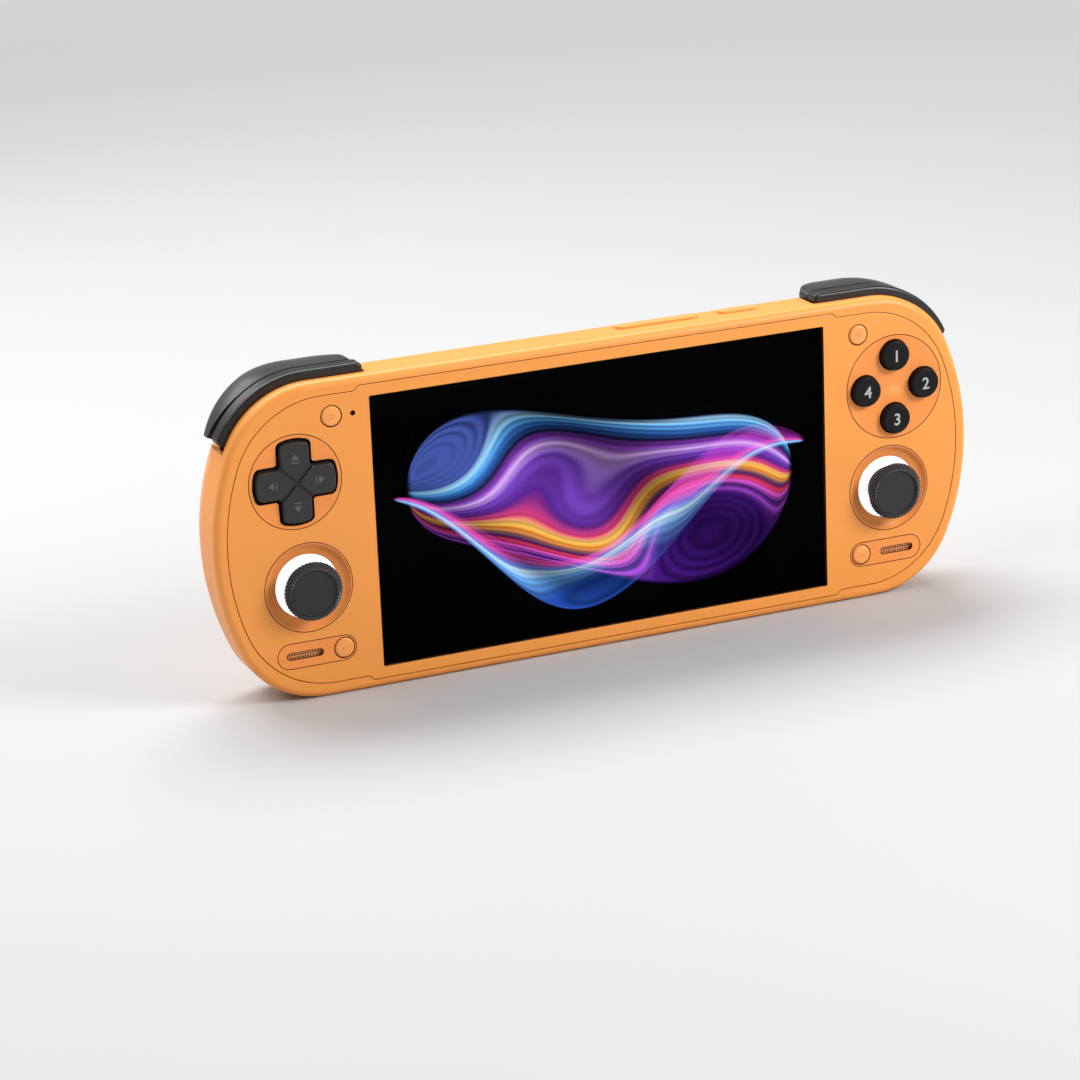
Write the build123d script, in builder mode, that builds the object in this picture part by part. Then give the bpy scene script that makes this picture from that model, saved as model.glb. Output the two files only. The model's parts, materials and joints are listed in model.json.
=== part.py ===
from build123d import *
import os
from math import asin, atan2, cos, degrees, hypot, radians, sin

os.makedirs("parts", exist_ok=True)

# Handheld game console, in millimetres. It stands on its lower long edge: X runs to the
# right, the face looks along -Y and Z runs up the face. "Depth" is the distance behind
# the face and "height" the distance in front of it. Places on the face are measured
# from the middle of the screen.

# Screen window, the size that sets the scale of the rest
window_width = 121.76
window_height = 68.49

# Body outline: flat top and bottom, corner arcs, and a long side arc tangent to them
body_half_width = 101.8
body_half_height = 39.4
corner_reach = 26.2
corner_radius = 22.7
corner_x = body_half_width - corner_reach
corner_y = body_half_height - corner_radius

# Faceplate seam: the same kind of outline, a little higher along the screen
seam_side_margin = 3.2
seam_top_margin = 3.4
seam_screen_margin = 2.2
seam_corner_reach = 25.5
seam_corner_radius = 23.2
seam_jog_margin = 2.12
seam_jog_length = 2.2
seam_half_width = body_half_width - seam_side_margin
seam_half_height = body_half_height - seam_top_margin
seam_screen_half_height = body_half_height - seam_screen_margin
seam_jog_start = window_width / 2 + seam_jog_margin
seam_jog_end = seam_jog_start + seam_jog_length
seam_corner_x = seam_half_width - seam_corner_reach
seam_corner_y = seam_half_height - seam_corner_radius

# Depths of the layers, front to back
plate_depth = 1.4
floor_front = 1.45
floor_back = 2.95
parting = 3.7
side_depth = 10.2
post_joint = 10.0
middle_depth = 15.6
wall = 1.8
fit_gap = 0.05
seam_gap = 0.12
body_edge_radius = 1.8
plate_edge_radius = 0.25

# Grip sections of the rear shell: depth, how far they draw in, and where they start
grip_depth = 20.8
grip_start_x = 50.0
grip_share_table = (
    (0.0, 0.0, 0.0),
    (0.27, 0.045, 0.0),
    (0.58, 0.13, 0.12),
    (0.84, 0.42, 0.5),
    (1.0, 0.86, 1.0),
)
grip_draw_in = 13.5
grip_start_shift = 15.0
middle_half_width = 62.0
middle_bottom_radius = 2.6
middle_shoulder_from_top = 1.3
middle_shoulder_y = body_half_height - middle_shoulder_from_top
middle_shoulder_depth = 14.0
middle_back_top_from_top = 6.4
middle_back_top_y = body_half_height - middle_back_top_from_top

# Corner recesses that take the shoulder buttons and the triggers
shoulder_back = 8.9
shoulder_recess = 3.4
trigger_recess = 4.2
corner_wall = 1.3
recess_start_from_side = 41.8
recess_start_x = body_half_width - recess_start_from_side
recess_end_angle = 19.0
recess_reach = 12.0

# Shoulder buttons
strip_inner = 0.9
strip_outer = 2.2
strip_start_from_side = 41.2
strip_start_x = body_half_width - strip_start_from_side
strip_end_angle = 23.5
strip_play = 0.15
strip_back = 8.6
strip_edge_radius = 0.8
strip_end_radius = 1.2
shoulder_pin_from_side = 37.6
shoulder_pin_x = body_half_width - shoulder_pin_from_side
shoulder_pin_from_top = 1.7
shoulder_pin_y = body_half_height - shoulder_pin_from_top
shoulder_pin_radius = 0.6
shoulder_boss_radius = 1.2
shoulder_pin_front = 1.8
running_gap = 0.06

# Triggers: three sections, with depth and the two faces' distance from the body outline
trigger_start_from_side = 40.9
trigger_start_x = body_half_width - trigger_start_from_side
trigger_end_angle = 24.0
trigger_front = 9.05
trigger_middle = 17.0
trigger_back = 23.6
trigger_front_faces = (-0.9, 2.1)
trigger_middle_faces = (-1.8, 1.7)
trigger_back_faces = (-3.5, -0.1)
trigger_inner_back = 12.9
trigger_inner_radius = 2.0
trigger_pull_angle = 10.0
trigger_strip_gap = 0.5
trigger_peak_from_side = 22.8
trigger_peak_x = body_half_width - trigger_peak_from_side
trigger_slope_from_side = 12.3
trigger_slope_x = body_half_width - trigger_slope_from_side
trigger_slope_back = 18.9
trigger_tip_from_side = 0.8
trigger_tip_x = body_half_width - trigger_tip_from_side
trigger_tip_back = 11.0
trigger_axis_from_top = 2.4
trigger_axis_y = body_half_height - trigger_axis_from_top
trigger_axis_depth = 11.6
trigger_pin_radius = 0.6
trigger_ear_radius = 1.3
trigger_ear_width = 2.0
trigger_inner_ear_from_side = 38.5
trigger_outer_ear_from_side = 32.2
trigger_lug_start_from_side = 30.8
trigger_lug_start = body_half_width - trigger_lug_start_from_side
trigger_lug_end_from_side = 29.2
trigger_lug_end = body_half_width - trigger_lug_end_from_side
trigger_lug_radius = 1.2
trigger_boss_start_from_side = 44.3
trigger_boss_start = body_half_width - trigger_boss_start_from_side
trigger_boss_half = 2.2
spring_radius = 1.2
spring_start_from_side = 37.0
spring_start = body_half_width - spring_start_from_side
spring_end_from_side = 33.7
spring_end = body_half_width - spring_end_from_side

# Thumbsticks
stick_from_side = 22.915
stick_x = body_half_width - stick_from_side
stick_y = -10.816
bezel_radius = 11.15
bezel_seat_radius = 10.2
bezel_lip_radius = 10.9
bezel_foot_radius = 9.2
bezel_foot_depth = 1.1
bezel_bow = 0.35
light_radius = 8.0
light_depth = 1.3
light_inner_radius = 5.3
light_flange_radius = 9.6
light_flange_back = 3.8
pivot_depth = 9.0
cap_radius = 7.15
cap_wide_low = 2.9
cap_wide_high = 3.7
cap_foot_radius = 6.2
cap_foot_height = 2.0
cap_lip_radius = 5.85
cap_dish_radius = 5.5
cap_top_height = 4.9
cap_dish_depth = 0.55
cap_stem_radius = 2.3
cap_stem_end = 2.0
cap_socket_height = 3.6
shaft_radius = 1.3
shaft_top_height = 3.0
shaft_foot = 2.2
hub_radius = 2.4
hub_half_height = 1.1
dome_radius = 6.1
dome_thickness = 0.7
dome_angle = 50.0
yoke_outer_radius = 5.5
yoke_inner_radius = 3.7
yoke_half_height = 1.2
stick_pin_radius = 0.8
yoke_pin_reach = 7.7
shaft_pin_reach = 5.3
housing_half = 7.8
housing_wall = 0.9
housing_front = 5.2
housing_back = 13.6
housing_flange_half = 9.6
housing_flange_front = 6.8
housing_flange_back = 7.6

# Direction pad
pad_from_side = 21.18
pad_x = pad_from_side - body_half_width
pad_y = 15.90
pad_dish_radius = 11.67
pad_seat_radius = 11.0
pad_reach = 10.4
pad_arm_width = 8.0
pad_corner_radius = 1.7
pad_inner_radius = 0.7
pad_height = 1.0
pad_taper = 10.0
pad_gap = 0.45
pad_edge_radius = 0.4
pad_groove_width = 0.9
pad_groove_depth = 0.35
pad_groove_length = 11.4
pad_flange_radius = 10.4
pad_flange_front = 2.7
pad_flange_back = 3.4
pad_pivot_radius = 1.3
pad_socket_gap = 0.1

# Face buttons
face_from_side = 21.01
face_x = body_half_width - face_from_side
face_y = 15.76
face_dish_radius = 13.43
face_seat_radius = 12.9
face_spread = 8.3
face_button_radius = 3.8
face_button_height = 1.6
face_button_gap = 0.35
face_button_edge = 0.45
face_flange_radius = 4.8
face_flange_front = 3.05
face_flange_back = 3.7
dish_hollow = 0.3

# Rubber membranes under the direction pad and the face buttons
membrane_front = 5.1
membrane_back = 5.7
membrane_dome_radius = 2.0
membrane_pad_radius = 10.9
membrane_face_radius = 11.9
membrane_pad_dome = 0.45
membrane_face_dome = 0.15
membrane_pad_spread = 7.0

# Small round buttons: places and travel
small_from_side = 31.14
small_x = body_half_width - small_from_side
small_upper_from_top = 8.7
small_upper_y = body_half_height - small_upper_from_top
small_lower_from_side = 31.07
small_lower_x = body_half_width - small_lower_from_side
small_lower_from_bottom = 11.86
small_lower_y = small_lower_from_bottom - body_half_height
small_radius = 2.5
small_gap = 0.25
small_floor_gap = 0.3
small_height = 0.45
small_edge_radius = 0.3
small_flange_radius = 3.05
small_flange_front = 3.05
small_flange_back = 3.7
mic_from_side = 36.63
mic_x = body_half_width - mic_from_side
mic_radius = 0.65

# Speaker covers, meshes and speakers
pill_from_side = 24.05
pill_x = body_half_width - pill_from_side
pill_length = 20.4
pill_height = 6.5
slot_from_side = 20.95
slot_x = body_half_width - slot_from_side
slot_length = 9.6
slot_height = 2.0
mesh_length = 11.0
mesh_height = 3.4
mesh_front = 0.95
mesh_back = 1.35
mesh_hole_radius = 0.22
mesh_pitch = 0.66
mesh_columns = 14
mesh_rows = 3
speaker_from_side = 19.4
speaker_x = body_half_width - speaker_from_side
speaker_length = 10.0
speaker_height = 7.0
speaker_front = 3.0
speaker_back = 7.4
speaker_cone_radius = 2.8
speaker_cone_depth = 0.8

# Cover glass, display panel and tray
glass_front = 0.15
glass_back = 1.4
glass_corner = 0.4
panel_side_margin = 1.12
panel_width = window_width + 2 * panel_side_margin
panel_top_margin = 1.255
panel_height = window_height + 2 * panel_top_margin
panel_back = 2.9
opening_side_margin = 1.62
opening_width = window_width + 2 * opening_side_margin
opening_top_margin = 1.755
opening_height = window_height + 2 * opening_top_margin
tray_half_width = 63.6
tray_half_height = 36.9
tray_notch_gap = 0.3
tray_notch_y = 33.6
tray_front = 3.0
tray_back = 4.0

# Volume rocker and power button in the top wall
side_key_depth = 8.0
side_key_width = 3.0
side_key_proud = 0.7
side_key_gap = 0.15
side_key_flange_top_from_top = 2.3
side_key_flange_top = body_half_height - side_key_flange_top_from_top
side_key_flange_bottom_from_top = 3.1
side_key_flange_bottom = body_half_height - side_key_flange_bottom_from_top
side_key_flange_width = 3.8
side_key_flange_extra = 0.8
side_key_edge_radius = 0.3
volume_start = 7.6
volume_end = 29.7
power_start = 35.7
power_end = 45.6
side_switch_top_from_top = 3.7
side_switch_top = body_half_height - side_switch_top_from_top
side_switch_body_top_from_top = 4.3
side_switch_body_top = body_half_height - side_switch_body_top_from_top
side_switch_bottom_from_top = 6.8
side_switch_bottom = body_half_height - side_switch_bottom_from_top
side_switch_half = 1.7
side_switch_plunger = 0.8

# Boards, battery and cooling
board_front = 5.75
board_back = 6.75
board_inset = 5.9
board_start_from_side = 36.9
board_start_x = body_half_width - board_start_from_side
board_end_from_side = 11.2
board_end_x = body_half_width - board_end_from_side
board_notch_top_from_bottom = 17.0
board_notch_top = board_notch_top_from_bottom - body_half_height
board_notch_from_side = 25.2
board_notch_x = body_half_width - board_notch_from_side
board_bottom_from_bottom = 8.0
board_bottom = board_bottom_from_bottom - body_half_height
board_cut_half = 8.1
board_post_hole = 2.6
board_top_from_top = 6.1
board_top = body_half_height - board_top_from_top
switch_half = 1.8
switch_body_front = 5.0
switch_plunger_front = 4.2
switch_plunger_radius = 0.9
main_left = -56.0
main_right = 56.0
main_bottom = 0.5
main_top_from_top = 4.0
main_top = body_half_height - main_top_from_top
main_front = 4.1
main_back = 5.1
battery_width = 92.0
battery_top = -1.0
battery_bottom_from_bottom = 12.9
battery_bottom = battery_bottom_from_bottom - body_half_height
battery_front = 4.05
battery_back = 11.6
battery_edge = 1.0
fan_x = -22.0
fan_y = 17.0
fan_half = 15.5
fan_back = 13.2
fan_wall = 0.8
fan_bore_radius = 13.8
fan_rotor_radius = 13.0
fan_hub_radius = 6.5
fan_axle_radius = 1.0
fan_hub_front = 7.0
fan_hub_back = 12.0
fan_blade_thickness = 0.8
fan_blade_count = 11
sink_left = 8.0
sink_right = 52.0
sink_bottom = 4.0
sink_top = 30.0
sink_base_back = 7.2
sink_back = 13.2
sink_fin_thickness = 0.9
sink_fin_count = 12

# Port board and the sockets in the bottom wall
port_board_half = 32.0
port_board_top_from_bottom = 12.2
port_board_top = port_board_top_from_bottom - body_half_height
port_board_bottom_from_bottom = 2.2
port_board_bottom = port_board_bottom_from_bottom - body_half_height
port_board_front = 4.1
port_board_back = 4.9
usb_width = 8.94
usb_height = 3.26
usb_length = 7.3
usb_wall = 0.3
usb_tongue_width = 6.7
usb_tongue_thickness = 0.7
usb_tongue_length = 4.5
jack_x = 22.0
jack_depth = 7.2
jack_body_width = 6.4
jack_body_height = 5.8
jack_length = 8.5
jack_bore_radius = 1.8
jack_bore_length = 8.6
jack_collar_radius = 2.6
card_x = -20.0
card_width = 13.0
card_height = 1.6
card_length = 9.0
card_slot_width = 11.4
card_slot_height = 0.9

# Shell posts and screws, and the vents in the rear shell
upper_post_from_side = 35.4
upper_post_from_top = 15.4
lower_post_from_side = 34.2
lower_post_from_bottom = 5.0
side_post_from_side = 7.8
side_post_y = -2.0
post_radius = 2.2
screw_radius = 0.98
screw_hole_gap = 0.02
screw_head_radius = 1.8
screw_seat_depth = 12.2
screw_head_height = 1.3
screw_tip_depth = 4.4
screw_socket_radius = 0.7
screw_socket_depth = 0.7
screw_well_radius = 2.1
inlet_slot_length = 20.0
inlet_slot_width = 1.4
inlet_slot_pitch = 3.0
inlet_slot_count = 7
outlet_depth = 12.2
outlet_slot_width = 1.6
outlet_slot_height = 2.2
outlet_pitch = 3.2
outlet_count = 12
outlet_x = 30.0


# Places that follow from the sizes above
strip_front = parting + strip_play
tray_notch_x = recess_start_x - wall - tray_notch_gap
trigger_ear_places = (body_half_width - trigger_inner_ear_from_side, body_half_width - trigger_outer_ear_from_side)
post_places = (
    (body_half_width - upper_post_from_side, body_half_height - upper_post_from_top),
    (body_half_width - lower_post_from_side, lower_post_from_bottom - body_half_height),
    (body_half_width - side_post_from_side, side_post_y),
)
pad_pivot_depth = board_front - fit_gap - pad_pivot_radius
fan_front = main_back + fit_gap
sink_front = main_back + fit_gap
usb_depth = port_board_back + fit_gap + usb_height / 2
card_depth = port_board_back + fit_gap + card_height / 2

# The face plane: its origin is the middle of the screen, its normal looks forwards. The
# row's origin is the bottom centre of the whole object's box.
face_setback = (cap_top_height - trigger_back) / 2
FACE = Plane(origin=(0, face_setback, body_half_height), x_dir=(1, 0, 0), z_dir=(0, -1, 0))


def behind(depth):
    """Plane parallel to the face, a distance behind it."""
    return FACE.offset(-depth)


def spot(x, y, depth=0):
    """Plane parallel to the face, with its origin at a place on the face."""
    return Plane(origin=(x, face_setback + depth, body_half_height + y), x_dir=(1, 0, 0), z_dir=(0, -1, 0))


def cut_through(x, y):
    """Plane through a place on the face, seen from above: local Y is the height above the face."""
    return Plane(origin=(x, face_setback, body_half_height + y), x_dir=(1, 0, 0), z_dir=(0, 0, -1))


def out_axis(x, y):
    """Axis out of the face at a place on it."""
    return Axis((x, face_setback, body_half_height + y), (0, -1, 0))


def side_view(x):
    """Plane across the console at x: local X is the depth, local Y the place up the face."""
    return Plane(origin=(x, face_setback, body_half_height), x_dir=(0, 1, 0), z_dir=(1, 0, 0))


def plan_view(y):
    """Plane seen from above at a place up the face: local X is X, local Y the depth."""
    return Plane(origin=(0, face_setback, body_half_height + y), x_dir=(1, 0, 0), z_dir=(0, 0, 1))


def save(piece, name):
    """Label a finished piece and write it."""
    piece.label = name
    export_step(piece, "parts/" + name + ".step")


def mirrored(piece):
    """The same piece on the other side of the console."""
    with BuildPart() as other:
        add(piece.mirror(Plane.YZ))
    return other.part


def bowl(radius, edge, hollow):
    """Arc of a ball from a rim at a height down to its lowest point on the axis."""
    ball = (radius ** 2 + hollow ** 2) / (2 * hollow)
    turn = asin(radius / ball) / 2
    middle = (ball * sin(turn), edge - hollow + ball - ball * cos(turn))
    ThreePointArc((radius, edge), middle, (0, edge - hollow))


def tangent_side(half_width, middle_x, middle_y, radius):
    """Radius of the side arc through (half_width, 0), tangent to a corner arc."""
    reach = half_width - middle_x
    return (reach ** 2 + middle_y ** 2 - radius ** 2) / (2 * (reach - radius))


body_side_radius = tangent_side(body_half_width, corner_x, corner_y, corner_radius)
seam_side_radius = tangent_side(seam_half_width, seam_corner_x, seam_corner_y, seam_corner_radius)
seam_side_x = seam_half_width - seam_side_radius


def ring_point(middle_x, middle_y, radius, angle):
    """Point on an arc, angle in degrees from +X."""
    return (middle_x + radius * cos(radians(angle)), middle_y + radius * sin(radians(angle)))


def outline(half_height, middle_x, middle_y, radius, side_radius, side_x, inset, start_x):
    """Right half of an outline, from the top at start_x round to the bottom."""
    top = half_height - inset
    turn = degrees(atan2(middle_y, middle_x - side_x))
    corner = radius - inset
    side = side_radius - inset
    upper = ring_point(middle_x, middle_y, corner, turn)
    lower = (upper[0], -upper[1])
    Line((start_x, top), (middle_x, top))
    ThreePointArc((middle_x, top), ring_point(middle_x, middle_y, corner, (90 + turn) / 2), upper)
    ThreePointArc(upper, (side_x + side, 0), lower)
    ThreePointArc(lower, ring_point(middle_x, -middle_y, corner, -(90 + turn) / 2), (middle_x, -top))
    Line((middle_x, -top), (start_x, -top))


def body_outline(inset, start_x):
    """Right half of the body outline, drawn in by an inset."""
    side_x = body_half_width - body_side_radius
    outline(
        body_half_height, corner_x, corner_y, corner_radius, body_side_radius, side_x, inset, start_x
    )


def body_face(inset):
    """Whole body outline as a face."""
    with BuildSketch() as face:
        with BuildLine():
            body_outline(inset, 0)
            mirror(about=Plane.YZ)
        make_face()
    return face.sketch


def seam_face(inset):
    """Whole faceplate outline, with the small jogs beside the screen."""
    jog_middle = ((seam_jog_start + seam_jog_end) / 2, (seam_screen_half_height + seam_half_height) / 2 - inset)
    screen_top = seam_screen_half_height - inset
    grip_top = seam_half_height - inset
    with BuildSketch() as face:
        with BuildLine():
            for up in (1, -1):
                Line((0, up * screen_top), (seam_jog_start, up * screen_top))
                middle = (jog_middle[0], up * jog_middle[1])
                TangentArc((seam_jog_start, up * screen_top), middle, tangent=(1, 0))
                TangentArc((seam_jog_end, up * grip_top), middle, tangent=(-1, 0))
            outline(
                seam_half_height, seam_corner_x, seam_corner_y, seam_corner_radius,
                seam_side_radius, seam_side_x, inset, seam_jog_end,
            )
            mirror(about=Plane.YZ)
        make_face()
    return face.sketch


def corner_band(inner, outer, start_x, end_angle):
    """Band along the top right corner, between two distances from the body outline."""
    with BuildSketch() as band:
        with BuildLine():
            low = corner_radius + inner
            high = corner_radius + outer
            low_end = ring_point(corner_x, corner_y, low, end_angle)
            high_end = ring_point(corner_x, corner_y, high, end_angle)
            middle = (90 + end_angle) / 2
            Line((start_x, corner_y + high), (corner_x, corner_y + high))
            ThreePointArc((corner_x, corner_y + high), ring_point(corner_x, corner_y, high, middle), high_end)
            Line(high_end, low_end)
            ThreePointArc(low_end, ring_point(corner_x, corner_y, low, middle), (corner_x, corner_y + low))
            Line((corner_x, corner_y + low), (start_x, corner_y + low))
            Line((start_x, corner_y + low), (start_x, corner_y + high))
        make_face()
    return band.sketch


def both_sides(face):
    """A face and its mirror image on the other side of the console."""
    with BuildSketch() as pair:
        add(face)
        mirror(about=Plane.YZ)
    return pair.sketch


def corner_cut(inset, start_x, end_angle):
    """Both top corners outside a line drawn in from the body outline."""
    return both_sides(corner_band(-inset, recess_reach, start_x, end_angle))


def cross_face(reach, width, end_radius, inner_radius):
    """Cross of two bars with bowed ends and rounded corners, and small arcs in its inner corners."""
    with BuildSketch() as cross:
        Rectangle(2 * reach, width)
        Rectangle(width, 2 * reach)
        Circle(reach, mode=Mode.INTERSECT)
        outer = cross.vertices().filter_by(lambda v: hypot(v.X, v.Y) > width)
        fillet(outer, end_radius)
        inner = cross.vertices().filter_by(lambda v: hypot(v.X, v.Y) < width)
        fillet(inner, inner_radius)
    return cross.sketch


def small_places():
    """Places of the four small round buttons."""
    return [
        (-small_x, small_upper_y), (small_x, small_upper_y),
        (-small_lower_x, small_lower_y), (small_lower_x, small_lower_y),
    ]


def face_places():
    """Places of the four face buttons on their dish, clockwise from the top."""
    return [(0, face_spread), (face_spread, 0), (0, -face_spread), (-face_spread, 0)]


def all_posts():
    """Places of the shell posts on both sides."""
    return [(side * x, y) for side in (-1, 1) for x, y in post_places]


hollow_inset = trigger_recess + corner_wall
stick_places = [(-stick_x, stick_y), (stick_x, stick_y)]
side_keys = {"volume_rocker": (volume_start, volume_end), "power_button": (power_start, power_end)}


# Front shell: rim, side walls and the floor that the faceplate lies on
with BuildPart() as front_shell:
    with BuildSketch(behind(0)):
        add(body_face(0))
    extrude(amount=-parting)
    fillet(front_shell.faces().filter_by(Axis.Y).sort_by(Axis.Y)[0].edges(), body_edge_radius)
    with BuildSketch(behind(0)):
        add(seam_face(-seam_gap))
    extrude(amount=-floor_front, mode=Mode.SUBTRACT)
    with BuildSketch(behind(floor_back)):
        add(body_face(wall))
        add(corner_cut(hollow_inset, recess_start_x - wall, recess_end_angle), mode=Mode.SUBTRACT)
    extrude(amount=floor_back - parting, mode=Mode.SUBTRACT)
    with BuildSketch(behind(floor_back)):
        with Locations(*all_posts()):
            Circle(post_radius)
    extrude(amount=floor_back - post_joint)
    with BuildSketch(behind(floor_back)):
        with Locations(*all_posts()):
            Circle(screw_radius + screw_hole_gap)
    extrude(amount=floor_back - post_joint, mode=Mode.SUBTRACT)
    with BuildSketch(behind(floor_front)):
        RectangleRounded(opening_width, opening_height, glass_corner)
        with Locations(*stick_places):
            Circle(bezel_seat_radius)
        with Locations((pad_x, pad_y)):
            Circle(pad_seat_radius)
        with Locations((face_x, face_y)):
            Circle(face_seat_radius)
        with Locations(*small_places()):
            Circle(small_radius + small_floor_gap)
        with Locations((-slot_x, small_lower_y), (slot_x, small_lower_y)):
            SlotOverall(slot_length, slot_height)
        with Locations((-mic_x, small_upper_y)):
            Circle(mic_radius)
    extrude(amount=floor_front - floor_back, mode=Mode.SUBTRACT)
    with BuildSketch(behind(shoulder_pin_front)):
        with Locations((-shoulder_pin_x, shoulder_pin_y), (shoulder_pin_x, shoulder_pin_y)):
            Circle(shoulder_pin_radius + screw_hole_gap)
    extrude(amount=shoulder_pin_front - parting, mode=Mode.SUBTRACT)

save(front_shell.part, "front_shell")


# Faceplate: a thin sheet set into the rim, with every opening of the face
with BuildPart() as faceplate:
    with BuildSketch(behind(0)):
        add(seam_face(0))
    extrude(amount=-plate_depth)
    fillet(faceplate.faces().filter_by(Axis.Y).sort_by(Axis.Y)[0].edges(), plate_edge_radius)
    with BuildSketch(behind(0)):
        RectangleRounded(window_width, window_height, glass_corner)
        with Locations(*stick_places):
            Circle(bezel_radius + seam_gap)
        with Locations((pad_x, pad_y)):
            Circle(pad_dish_radius + seam_gap)
        with Locations((face_x, face_y)):
            Circle(face_dish_radius + seam_gap)
        with Locations((-small_x, small_upper_y), (small_x, small_upper_y)):
            Circle(small_radius + small_gap)
        with Locations((-pill_x, small_lower_y), (pill_x, small_lower_y)):
            SlotOverall(pill_length, pill_height)
        with Locations((-mic_x, small_upper_y)):
            Circle(mic_radius)
    extrude(amount=-plate_depth, mode=Mode.SUBTRACT)

save(faceplate.part, "faceplate")


def grip_solid(skin):
    """Right grip behind the side wall, drawn in by a skin thickness on every side."""
    sections = []
    for depth_share, inset_share, start_share in grip_share_table:
        depth = side_depth + depth_share * (grip_depth - skin - side_depth)
        with BuildSketch(behind(depth)) as section:
            with BuildLine():
                start_x = grip_start_x + start_share * grip_start_shift + skin
                body_outline(inset_share * grip_draw_in + skin, start_x)
                top = body_half_height - inset_share * grip_draw_in - skin
                Line((start_x, -top), (start_x, top))
            make_face()
        sections.append(section.sketch)
    with BuildPart() as grip:
        loft(sections=sections)
    return grip.part


def middle_solid(skin):
    """Middle of the rear shell behind the side wall: rounded at the top, tight at the bottom."""
    back = middle_depth - skin
    bottom = -body_half_height + skin
    with BuildPart() as middle:
        with BuildSketch(side_view(0)):
            with BuildLine():
                Line((side_depth, bottom), (back - middle_bottom_radius, bottom))
                TangentArc(
                    (back - middle_bottom_radius, bottom), (back, bottom + middle_bottom_radius), tangent=(1, 0)
                )
                Line((back, bottom + middle_bottom_radius), (back, middle_back_top_y - skin))
                ThreePointArc(
                    (back, middle_back_top_y - skin),
                    (middle_shoulder_depth - skin, middle_shoulder_y - skin),
                    (side_depth, body_half_height - skin),
                )
                Line((side_depth, body_half_height - skin), (side_depth, bottom))
            make_face()
        extrude(amount=middle_half_width, both=True)
    return middle.part


def rear_solid(skin):
    """The closed form behind the parting: side wall, middle and both grips."""
    grip = grip_solid(skin)
    with BuildPart() as form:
        with BuildSketch(behind(parting)):
            add(body_face(skin))
        extrude(amount=parting - side_depth)
        add(middle_solid(skin))
        add(grip)
        add(grip.mirror(Plane.YZ))
    return form.part


# Rear shell: a hollow back with two grips, recessed for the triggers
rear_form = rear_solid(0)
with BuildPart() as rear_hollow:
    add(rear_solid(wall))
    with BuildSketch(behind(parting)):
        add(corner_cut(hollow_inset, recess_start_x - wall, recess_end_angle))
    extrude(amount=parting - grip_depth, mode=Mode.SUBTRACT)

with BuildPart() as rear_inner:
    with BuildSketch(behind(post_joint)):
        with Locations(*all_posts()):
            Circle(post_radius)
    extrude(amount=post_joint - grip_depth)
    for side in (-1, 1):
        boss_length = recess_start_x - trigger_boss_start
        with BuildSketch(side_view(side * trigger_boss_start)):
            with Locations((trigger_axis_depth, trigger_axis_y)):
                Rectangle(2 * trigger_boss_half, 2 * trigger_boss_half)
        extrude(amount=side * boss_length)
        with BuildSketch(side_view(side * trigger_lug_start)):
            with Locations((trigger_axis_depth, trigger_axis_y)):
                Circle(trigger_lug_radius)
            with Locations((trigger_axis_depth, (trigger_axis_y + body_half_height - hollow_inset) / 2)):
                Rectangle(2 * trigger_lug_radius, trigger_axis_y - body_half_height + hollow_inset)
        extrude(amount=side * (trigger_lug_end - trigger_lug_start))
    add(rear_form, mode=Mode.INTERSECT)

with BuildPart() as rear_shell:
    add(rear_form)
    add(rear_hollow.part, mode=Mode.SUBTRACT)
    with BuildSketch(behind(parting)):
        add(corner_cut(shoulder_recess, recess_start_x, recess_end_angle))
    extrude(amount=parting - shoulder_back, mode=Mode.SUBTRACT)
    with BuildSketch(behind(shoulder_back)):
        add(corner_cut(trigger_recess, recess_start_x, recess_end_angle))
    extrude(amount=shoulder_back - grip_depth, mode=Mode.SUBTRACT)
    add(rear_inner.part)
    with BuildSketch(behind(post_joint)):
        with Locations(*all_posts()):
            Circle(screw_radius + screw_hole_gap)
    extrude(amount=post_joint - screw_seat_depth, mode=Mode.SUBTRACT)
    for key_start, key_end in side_keys.values():
        with BuildSketch(plan_view(body_half_height)):
            with Locations(((key_start + key_end) / 2, side_key_depth)):
                SlotOverall(key_end - key_start + 2 * side_key_gap, side_key_width + 2 * side_key_gap)
        extrude(amount=-2 * wall, mode=Mode.SUBTRACT)
    with BuildSketch(plan_view(-body_half_height)):
        with Locations((0, usb_depth)):
            SlotOverall(usb_width + 2 * fit_gap, usb_height + 2 * fit_gap)
        with Locations((jack_x, jack_depth)):
            Circle(jack_collar_radius + fit_gap)
        with Locations((card_x, card_depth)):
            Rectangle(card_slot_width + 2 * fit_gap, card_slot_height + 2 * fit_gap)
    extrude(amount=wall, mode=Mode.SUBTRACT)
    with BuildSketch(behind(screw_seat_depth)):
        with Locations(*all_posts()):
            Circle(screw_well_radius)
    extrude(amount=screw_seat_depth - grip_depth, mode=Mode.SUBTRACT)
    for side in (-1, 1):
        with BuildSketch(side_view(side * trigger_boss_start)):
            with Locations((trigger_axis_depth, trigger_axis_y)):
                Circle(trigger_pin_radius + screw_hole_gap)
        extrude(amount=side * (trigger_lug_end - trigger_boss_start), mode=Mode.SUBTRACT)
    with BuildSketch(spot(fan_x, fan_y, middle_depth - wall)):
        with GridLocations(0, inlet_slot_pitch, 1, inlet_slot_count):
            SlotOverall(inlet_slot_length, inlet_slot_width)
    extrude(amount=-wall, mode=Mode.SUBTRACT)
    with BuildSketch(plan_view(body_half_height)):
        with Locations((outlet_x, outlet_depth)):
            with GridLocations(outlet_pitch, 0, outlet_count, 1):
                Rectangle(outlet_slot_width, outlet_slot_height)
    extrude(amount=-3 * wall, mode=Mode.SUBTRACT)

save(rear_shell.part, "rear_shell")


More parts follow.
